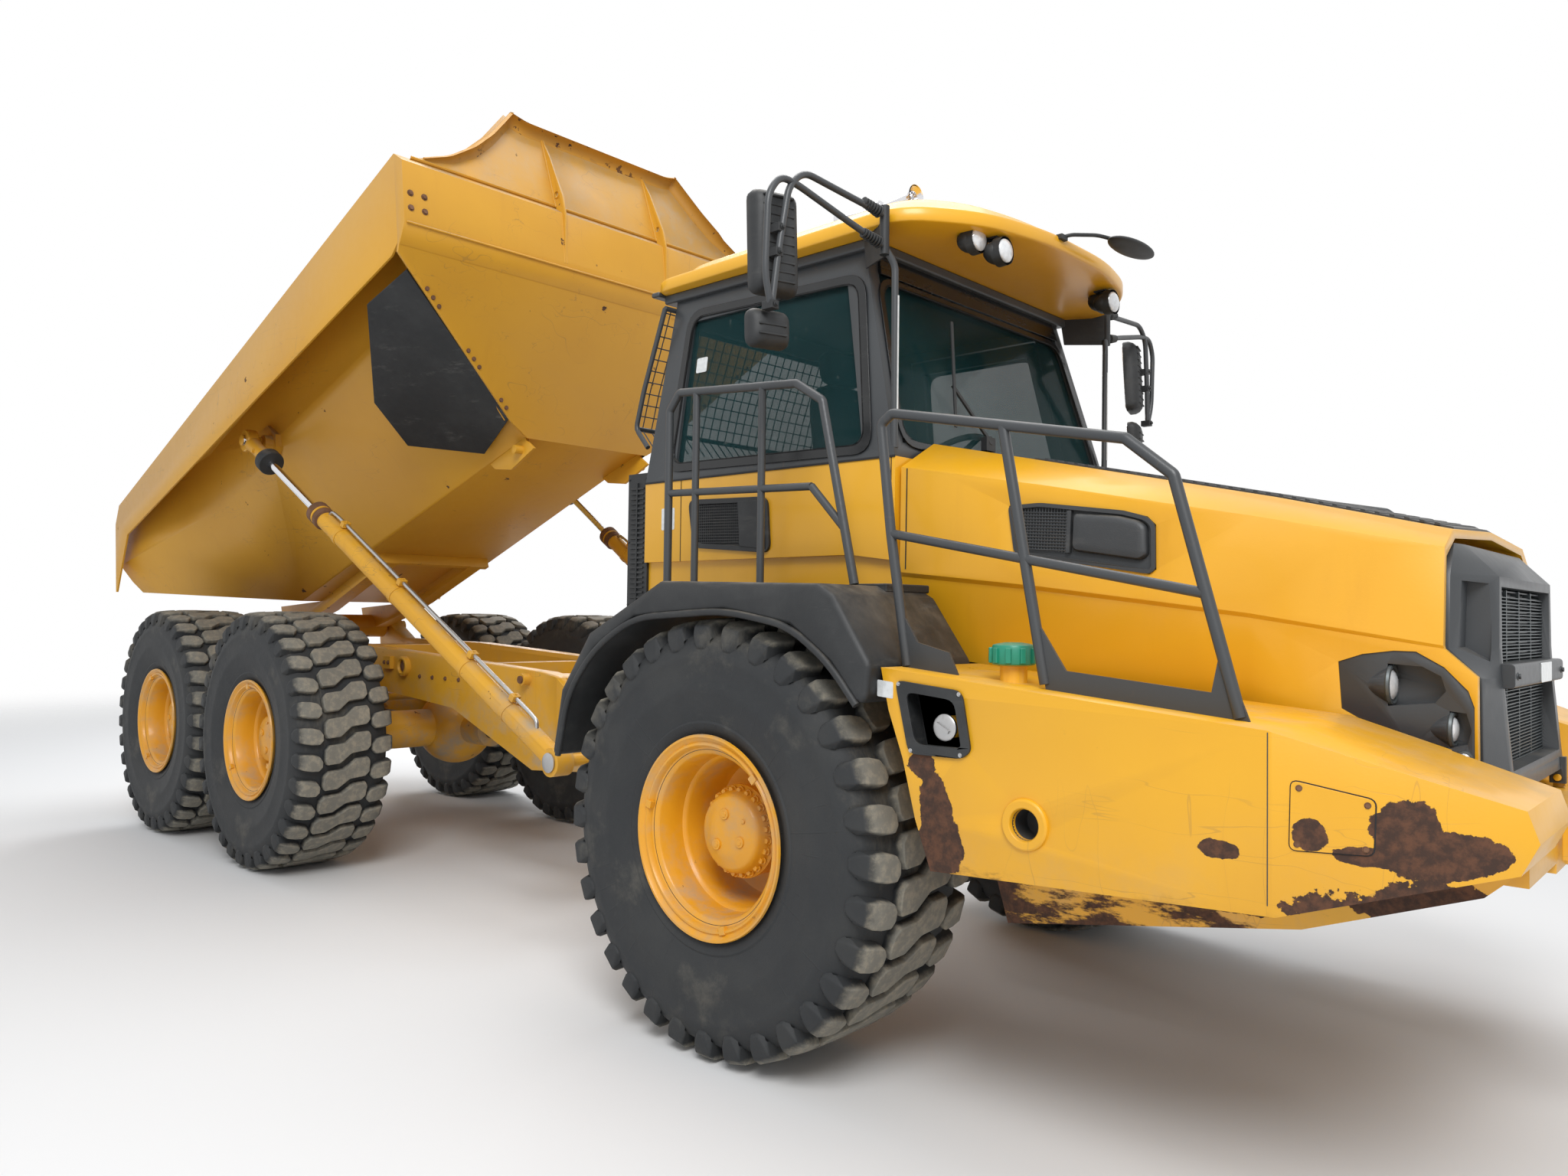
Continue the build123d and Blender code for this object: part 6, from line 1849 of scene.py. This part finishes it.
    def build(self) -> None:
        """Adds every fitting of the hood."""
        self.vents()
        self.lights()
        self.top()
        self.fins()


@dataclass
class SillTrim(Trim):
    """The sills' filler recesses, caps, plates, bolts and step treads, and the mudguards' lips."""

    recess: tuple[Flat, ...] = ((0.886, 1.402), (1.088, 1.384), (1.116, 1.236), (1.100, 1.224), (0.930, 1.222))
    arch: tuple[Flat, ...] = ((-0.861, 1.031), (-0.800, 1.290), (-0.630, 1.480), (-0.380, 1.610), (0.123, 1.640),
                              (0.440, 1.590), (0.620, 1.470), (0.736, 1.340))

    @staticmethod
    def face(x: float) -> float:
        """Gives the sill's outer half width, which tapers along the nose."""
        return min(1.44, 1.445 - 0.4344 * (x - 1.99))

    def on_side(self, side: Side) -> Callable[[Vector], Vector]:
        """Gives the bend that lays (x, depth, z) on the sill's side."""
        return lambda p: Vector((p.x, side.value * (self.face(p.x) + p.y), p.z))

    def build(self) -> None:
        """Adds every fitting of both sills."""
        yellow, steel, green, dark, rusty = (self.mesh() for _ in range(5))
        for side in Side:
            s = side.value
            wall = self.on_side(side)
            ring = self.mesh(wall)
            outline = grown(self.recess, 0.002)
            ring.plate(upright(rounded(grown(outline, 0.020), 0.03, 4), 0.0), (0, 0.009, 0),
                       [upright(rounded(grown(outline, -0.012), 0.03, 4), 0.0)])
            lining = upright(grown(outline, -0.0035), -0.069)
            ring.plate(lining, (0, 0.0015, 0))
            for first, second in zip(lining, lining[1:] + lining[:1]):
                ring.lid([first, second, (second[0], 0.001, second[2]), (first[0], 0.001, first[2])])
            self.hang(ring, f"filler_frame_{side.word}", "black_plastic", bevel=0.0015)
            for x, z in grown(self.recess, 0.011)[:2] + grown(self.recess, 0.011)[3:]:
                steel.bolt((x, s * 1.4485, z), (0, s, 0), 0.005, 0.004)
            steel.spun([(0.036, 0.0), (0.041, 0.004), (0.041, 0.012), (0.036, 0.016), (0.020, 0.018),
                        (0.0005, 0.018)], (1.04, s * 1.426, 1.29), (0, s, 0), 36)
            steel.slab((1.04, s * 1.447, 1.29), (0.052, 0.012, 0.010), Matrix.Rotation(0.5, 3, "Y"))
            tie = (1.32, s * 1.44, 1.035)
            yellow.spun([(0.044, -0.02), (0.045, 0.004), (0.049, 0.010), (0.068, 0.011), (0.074, 0.007),
                         (0.076, -0.001)], tie, (0, s, 0), 44)
            dark.spun([(0.0445, -0.004), (0.0445, -0.088), (0.0005, -0.088)], tie, (0, s, 0), 32)
            cap, neck = (1.165, s * 1.25), 1.478
            green.spun([(0.050, 0.0), (0.066, 0.004), (0.068, 0.012), (0.068, 0.052), (0.064, 0.064),
                        (0.050, 0.068), (0.026, 0.072), (0.0005, 0.072)], (*cap, neck), (0, 0, 1), 40)
            for step in range(10):
                turn = FULL_TURN * step / 10
                place = Vector((cap[0] + math.cos(turn) * 0.068, cap[1] + math.sin(turn) * 0.068, neck + 0.032))
                green.slab(place, (0.016, 0.018, 0.048), Matrix.Rotation(turn, 3, "Z"))
            plate, groove = self.mesh(wall), self.mesh(wall)
            corners = rounded([(2.040, 1.240), (2.207, 1.203), (2.203, 1.072), (2.037, 1.072)], 0.016, 4)
            plate.plate(upright(corners, 0.0), (0, 0.005, 0))
            groove.plate(upright(grown(corners, 0.0028), 0.0), (0, 0.0012, 0))
            self.hang(plate, f"access_plate_{side.word}", "sill_yellow", bevel=0.0015)
            self.hang(groove, f"access_groove_{side.word}", "seal_rubber")
            for x, z in ((2.056, 1.222), (2.192, 1.190), (2.188, 1.086), (2.052, 1.087)):
                rusty.bolt((x, s * (self.face(x) + 0.004), z), (0.398, s * 0.917, 0), 0.006, 0.005)
            dark.box((1.988, s * 1.436 - 0.005, 0.93), (1.991, s * 1.436 + 0.0055, 1.352))
            for low in (0.42, 0.70) if side is Side.LEFT else ():
                for index in range(27):
                    x, y = 1.10 + index % 9 * 0.037, 1.262 + index // 9 * 0.058
                    dark.rod((x, s * y, low + 0.029), (x, s * y, low + 0.035), 0.010, 10, 0.007)
            tag = rounded([(0.783, 1.424), (0.846, 1.418), (0.846, 1.366), (0.783, 1.371)], 0.005, 3)
            label = self.mesh(wall).plate(upright(tag, 0.0), (0, 0.001, 0))
            self.hang(label, f"sill_label_{side.word}", "pale_label")
            lips = [upright(self.arch, s * 1.488), upright(self.arch, s * 0.912)]
            self.pipes(f"mudguard_lip_{side.word}", lips, 0.013, "black_plastic", 0.12)
            grip = self.mesh().box((0.425, s * 1.03 - 0.13, 1.712), (0.60, s * 1.03 + 0.13, 1.742))
            self.hang(grip, f"grip_strip_{side.word}", "mat_rubber", bevel=0.006)
            yellow.rod((2.32, s * 0.458, 1.098), (2.32, s * 0.476, 1.098), 0.021, 24)
            yellow.prism([(2.43, s * 0.28, 1.045), (2.43, s * 0.30, 1.045), (2.43, s * 0.30, 0.935),
                          (2.43, s * 0.28, 0.935)], (0.07, 0, 0))
        for z in (0.905, 0.955, 1.005, 1.055):
            steel.rod((2.60, 0.0, z), (2.60, 0.0, z + 0.045), 0.0235, 24)
        steel.ball((2.60, 0.0, 1.10), (0.036, 0.036, 0.022), 24)
        self.hang(steel, "sill_steel", "steel")
        self.hang(rusty, "sill_bolts", "rusty_steel")
        self.hang(green, "fluid_caps", "green_cap", bevel=0.003)
        self.hang(dark, "sill_dark_parts", "frame_grey", bevel=0.001)
        self.hang(yellow, "nose_parts", "sill_yellow", bevel=0.002)


@dataclass
class BinTrim(Trim):
    """The bin guard's curled lip, the bolts and the weld beads, drawn level and then tipped."""

    body: str = "bin"
    guard: tuple[Flat, ...] = ((1.335, 2.663), (1.230, 2.700), (1.120, 2.745), (0.980, 2.850), (0.840, 2.990),
                               (0.735, 3.120), (0.650, 3.228), (0.620, 3.216), (0.540, 3.194))
    guard_x: float = -1.840
    curl: float = 0.085

    def mesh(self, bend: Callable[[Vector], Vector] | None = None) -> Mesh:
        """Starts a mesh that is drawn with the bin level."""
        return Mesh(TIPPED, bend)

    def lip(self) -> None:
        """Rolls the guard's upper edge forward."""
        edge = rounded([(-y, z) for y, z in self.guard] + [(y, z) for y, z in reversed(self.guard)], 0.03, 3)[4:-4]
        rows = []
        for index, (y, z) in enumerate(edge):
            before, after = edge[max(index - 1, 0)], edge[min(index + 1, len(edge) - 1)]
            along = (Vector(after) - Vector(before)).normalized()
            out = Vector((-along.y, along.x))
            fade = min(1.0, 0.25 + 4.5 * min(index, len(edge) - 1 - index) / len(edge))
            reach = self.curl * fade
            row = []
            for step in range(14):
                outer, turn = step < 7, math.radians(8 + 80 * min(step, 13 - step) / 6)
                depth = (reach if outer else reach - 0.012) * (1 - math.cos(turn))
                rise = -reach + reach * math.sin(turn) - depth * 0.40 + (-0.004 if outer else 0.006)
                rise = rise if outer else min(rise, 0.002)
                x = self.guard_x + depth - (0.003 if outer else 0.004)
                row.append((x, y + out.x * rise, z + out.y * rise))
            rows.append(row)
        curled = self.mesh().grid(rows, True, True)
        curled.lid(rows[0]).lid(rows[-1])
        self.hang(curled, "guard_lip", "guard_yellow")

    def fixings(self) -> None:
        """Adds the bolts of the headboard, the mats and the latch, and the weld beads."""
        normal = Vector((0.83, 0, -0.558))
        bolts, beads = self.mesh(), self.mesh()
        for side in Side:
            s = side.value
            for share in (0.0, 0.07, 0.14, 0.50, 0.57, 0.64, 0.93, 1.0):
                z = 2.026 - 0.464 * share
                y = 0.590 + (z - 1.500) / 0.650 * 0.830 - 0.032
                x = -2.480 + (z - 1.431) / 0.759 * 0.510
                bolts.bolt(Vector((x, s * y, z)) + normal * 0.019, normal, 0.010, 0.010)
            for y, z in ((1.38, 2.42), (1.38, 2.34), (1.30, 2.42), (1.30, 2.34)):
                x = mixed(z, ((2.252, -1.873), (2.592, -1.797))) + 0.001
                bolts.bolt((x, s * y, z), (0.975, 0, -0.22), 0.013, 0.011)
            for z in (1.43, 1.455):
                for x in (-4.47, -4.49):
                    bolts.bolt((x, s * 0.451, z), (0, s, 0), 0.008, 0.008)
            for x0, z0, x1, z1 in ((-1.838, 3.17, -1.838, 2.66), (-1.80, 2.59, -1.868, 2.29)):
                beads.rod((x0, s * 0.401, z0), (x1, s * 0.401, z1), 0.006, 8)
                beads.rod((x0, s * 0.385, z0), (x1, s * 0.385, z1), 0.006, 8)
            beads.rod((-2.46, s * 0.60, 1.52), (-1.975, s * 1.412, 2.16), 0.007, 8)
            beads.spun([(0.017, -0.002), (0.025, -0.002), (0.025, 0.004), (0.017, 0.004)],
                       (-1.806, s * 0.40, 2.73), (0, s, 0), 20)
        beads.rod((-1.842, -1.33, 2.672), (-1.842, 1.33, 2.672), 0.007, 8)
        beads.rod((-1.865, -1.41, 2.255), (-1.865, 1.41, 2.255), 0.006, 8)
        self.hang(bolts, "bin_bolts", "rusty_steel")
        self.hang(beads, "bin_welds", "bin_yellow")

    def build(self) -> None:
        """Adds every fitting of the bin."""
        self.lip()
        self.fixings()


@dataclass
class HoistTrim(Trim):
    """The tipping cylinders' glands, feed pipes, clamps, rings and eyes."""

    foot: Point = (-1.650, 0.923, 0.876)
    eye: Point = (-4.812, 1.240, 2.775)

    def build(self) -> None:
        """Fits both cylinders."""
        for side in Side:
            s = side.value
            foot = Vector((self.foot[0], s * self.foot[1], self.foot[2]))
            eye = Vector((self.eye[0], s * self.eye[1], self.eye[2]))
            along = (eye - foot).normalized()
            up = (Vector((0, 0, 1)) - along * along.z).normalized()
            length = (eye - foot).length
            barrel, rod = f"hoist_barrel_{side.word}", f"hoist_rod_{side.word}"
            gland = self.mesh().spun([(0.057, 2.56), (0.071, 2.565), (0.071, 2.60), (0.064, 2.604),
                                      (0.064, 2.625), (0.072, 2.63), (0.072, 2.676), (0.066, 2.684),
                                      (0.045, 2.690), (0.0275, 2.692)], foot, along, 40)
            for step in range(6):
                turn = Matrix.Rotation(math.pi * step / 3, 3, along) @ up
                gland.bolt(foot + along * 2.684 + turn * 0.053, along, 0.008, 0.008)
            self.hang(gland, f"hoist_gland_{side.word}", "rusty_steel", body=barrel)
            line = [foot + along * d + up * r for d, r in ((0.22, 0.05), (0.24, 0.082), (0.30, 0.088), (2.44, 0.088),
                                                           (2.52, 0.080), (2.54, 0.05))]
            self.pipes(f"hoist_pipe_{side.word}", [line], 0.011, "steel", 0.04, body=barrel)
            clamps = self.mesh()
            for d in (0.45, 0.867, 1.648, 2.35):
                clamps.spun([(0.0565, d - 0.018), (0.061, d - 0.018), (0.061, d + 0.018), (0.0565, d + 0.018)],
                            foot, along, 36)
                turn = Matrix((along, up, along.cross(up))).transposed()
                clamps.slab(foot + along * d + up * 0.085, (0.036, 0.036, 0.05), turn)
                clamps.bolt(foot + along * d + up * 0.102, up, 0.007, 0.008)
            self.hang(clamps, f"hoist_clamps_{side.word}", "frame_yellow", bevel=0.002, body=barrel)
            foot_parts = self.mesh()
            for out in (-1, 1):
                foot_parts.spun([(0.030, 0.0), (0.050, 0.0), (0.050, 0.008), (0.034, 0.012), (0.0005, 0.012)],
                                foot + Vector((0, out * 0.052, 0)), (0, out, 0), 28)
            self.hang(foot_parts, f"hoist_foot_{side.word}", "steel", body=barrel)
            ring = self.mesh().spun([(0.0255, length - 0.352), (0.080, length - 0.352), (0.084, length - 0.344),
                                     (0.084, length - 0.288), (0.080, length - 0.280), (0.0255, length - 0.280)],
                                    foot, along, 40)
            self.hang(ring, f"hoist_ring_{side.word}", "mat_rubber", body=rod)
            end = self.mesh().spun([(0.0255, length - 0.280), (0.046, length - 0.278), (0.048, length - 0.20),
                                    (0.044, length - 0.13), (0.052, length - 0.06)], foot, along, 36)
            end.spun([(0.035, -0.037), (0.070, -0.037), (0.076, -0.030), (0.076, 0.030), (0.070, 0.037),
                      (0.035, 0.037)], eye, (0, 1, 0), 40)
            for out in (-1, 1):
                end.spun([(0.0005, 0.0), (0.036, 0.0), (0.036, 0.006), (0.028, 0.010), (0.0005, 0.010)],
                         eye + Vector((0, s * (0.050 if out > 0 else -0.063), 0)), (0, out * s, 0), 28)
                across = along.cross(up) * out
                end.bolt(foot + along * (length - 0.17) + across * 0.046, across, 0.012, 0.016)
            self.hang(end, f"hoist_eye_{side.word}", "frame_yellow", bevel=0.0015, body=rod)


@dataclass
class FrameTrim(Trim):
    """The rear frame's bosses, bolts, hoses and valve."""

    body: str = "rear_frame"

    def build(self) -> None:
        """Adds the fittings of the rear frame."""
        parts, bolts = self.mesh(), self.mesh()
        for side in Side:
            s = side.value
            hub = (-3.90, s * 0.55, 1.26)
            parts.spun([(0.040, -0.01), (0.066, -0.01), (0.066, 0.030), (0.058, 0.036), (0.046, 0.036),
                        (0.040, 0.02)], hub, (0, s, 0), 36)
            bolts.spun([(0.0005, 0.005), (0.038, 0.005), (0.038, 0.017), (0.030, 0.021), (0.0005, 0.021)], hub,
                       (0, s, 0), 28)
            parts.slab((-4.109, s * 0.565, 1.278), (0.10, 0.03, 0.085))
            for x in (-4.135, -4.083):
                bolts.bolt((x, s * 0.579, 1.278), (0, s, 0), 0.011, 0.010)
            parts.rod((-2.472, s * 0.548, 1.239), (-2.472, s * 0.60, 1.239), 0.034, 28)
            bolts.rod((-2.472, s * 0.59, 1.239), (-2.472, s * 0.612, 1.239), 0.022, 20)
            for step in range(7):
                bolts.bolt((-2.75 - step * 0.16, s * 0.549, 1.20), (0, s, 0), 0.011, 0.010)
        self.hang(parts, "rear_frame_bosses", "frame_yellow", bevel=0.002)
        self.hang(bolts, "rear_frame_bolts", "rusty_steel")
        runs = []
        for index in range(5):
            y = -0.30 + index * 0.05
            runs.append([(-2.26, y * 0.7, 1.08 + index * 0.02), (-2.38, y, 1.20 + index * 0.012), (-2.75, y, 1.20),
                         (-3.45, y, 1.18), (-3.75, y - 0.05, 1.12)])
        self.pipes("rear_frame_hoses", runs, 0.014, "black_plastic", 0.10, slot="rubber")
        valve = self.mesh().slab((-2.60, 0.14, 1.19), (0.12, 0.10, 0.09))
        valve.rod((-2.60, 0.14, 1.23), (-2.60, 0.14, 1.29), 0.020, 20)
        valve.ball((-2.60, 0.14, 1.295), (0.03, 0.03, 0.018), 20)
        self.hang(valve, "frame_valve", "red_paint", bevel=0.004)


# Floor, light and camera


@dataclass
class Studio:
    """The pale floor, the soft lights and the camera."""

    eye: Point = (2.951, -4.219, 1.619)
    yaw: float = 42.88
    pitch: float = 1.52
    roll: float = 0.72
    focal_pixels: float = 1433.0
    image_width: float = 2048.0
    key_power: float = 900.0
    world_strength: float = 0.55
    floor_fades: Flat = (8.0, 20.0)
    floor_reach: float = 60.0

    def camera(self) -> None:
        """Sets the camera where the photograph was taken from."""
        data = bpy.data.cameras.new("camera")
        data.sensor_width = 36.0
        data.lens = self.focal_pixels / self.image_width * data.sensor_width
        data.clip_start, data.clip_end = 0.05, 200.0
        made = placed("camera", data)
        yaw, pitch, roll = map(math.radians, (self.yaw, self.pitch, self.roll))
        ahead = Vector((-math.sin(yaw) * math.cos(pitch), math.cos(yaw) * math.cos(pitch), math.sin(pitch)))
        right = Vector((math.cos(yaw), math.sin(yaw), 0.0))
        up = right.cross(ahead)
        rolled_right = right * math.cos(roll) + up * math.sin(roll)
        rolled_up = up * math.cos(roll) - right * math.sin(roll)
        turn = Matrix((rolled_right, rolled_up, -ahead)).transposed()
        made.matrix_world = Matrix.Translation(at(*self.eye)) @ turn.to_4x4()
        bpy.context.scene.camera = made

    def lamp(self, name: str, place: Point, aim: Point, size: float, power: float) -> None:
        """Adds a square soft light.

        Args:
            name: Its name.
            place: Where it hangs.
            aim: What it points at.
            size: Its side.
            power: Its power in watts.
        """
        data = bpy.data.lights.new(name, "AREA")
        data.size = size
        data.energy = power
        made = placed(name, data)
        made.location = place
        made.rotation_mode = "QUATERNION"
        made.rotation_quaternion = (Vector(aim) - Vector(place)).to_track_quat("-Z", "Y")

    def floor(self) -> None:
        """Lays the pale floor, which fades into the white background."""
        graph = Graph("studio_floor")
        colour = graph.blend(graph.noise(3.0, 6.0) * 0.04, (0.78, 0.78, 0.78), (0.70, 0.70, 0.70))
        x, y, z = graph.axes(graph.place())
        far = ((x * x + y * y) ** 0.5).rise(*self.floor_fades)
        graph.fade(far, graph.node("ShaderNodeBsdfTransparent", {}, {}))
        graph.set(Base_Color=colour, Roughness=0.85)
        reach = self.floor_reach
        plane = Mesh().lid([(-reach, -reach, 0), (reach, -reach, 0), (reach, reach, 0), (-reach, reach, 0)])
        plane.finish("studio_floor", graph.owner)

    def world(self) -> None:
        """Sets the surroundings: even light, and white behind the object."""
        graph = Graph("studio", world=True)
        graph.set(Color=(0.93, 0.96, 1.0), Strength=self.world_strength)
        white = graph.node("ShaderNodeBackground", {}, {"Color": (1.0, 1.0, 1.0), "Strength": 1.0})
        seen, glossy, through = (graph.node("ShaderNodeLightPath", {}, {}, f"Is {ray} Ray")
                                 for ray in ("Camera", "Glossy", "Transmission"))
        graph.fade(seen.most(glossy).most(through), white)
        bpy.context.scene.world = graph.owner

    def build(self) -> None:
        """Sets up the whole studio."""
        self.camera()
        self.floor()
        self.world()
        self.lamp("key_light", (7.5, -7.0, 9.0), (0.5, 0.0, 1.5), 5.0, self.key_power)
        self.lamp("top_light", (-1.0, 1.5, 10.0), (-0.5, 0.0, 1.0), 7.0, self.key_power * 0.55)
        self.lamp("rear_light", (-9.0, 6.0, 6.0), (-1.0, 0.0, 1.5), 5.0, self.key_power * 0.5)
        bpy.context.scene.view_settings.view_transform = "Standard"


def main() -> None:
    """Builds every part of the machine in order, then the studio."""
    finishes = Finishes().build()
    Panelwork(finishes).build()
    Wheel(finishes).build()
    for kind in (CabTrim, HoodTrim, SillTrim, BinTrim, HoistTrim, FrameTrim):
        kind(finishes).build()
    Studio().build()


if __name__ == "__main__":
    logging.basicConfig(level=logging.INFO, format="%(message)s")
    main()
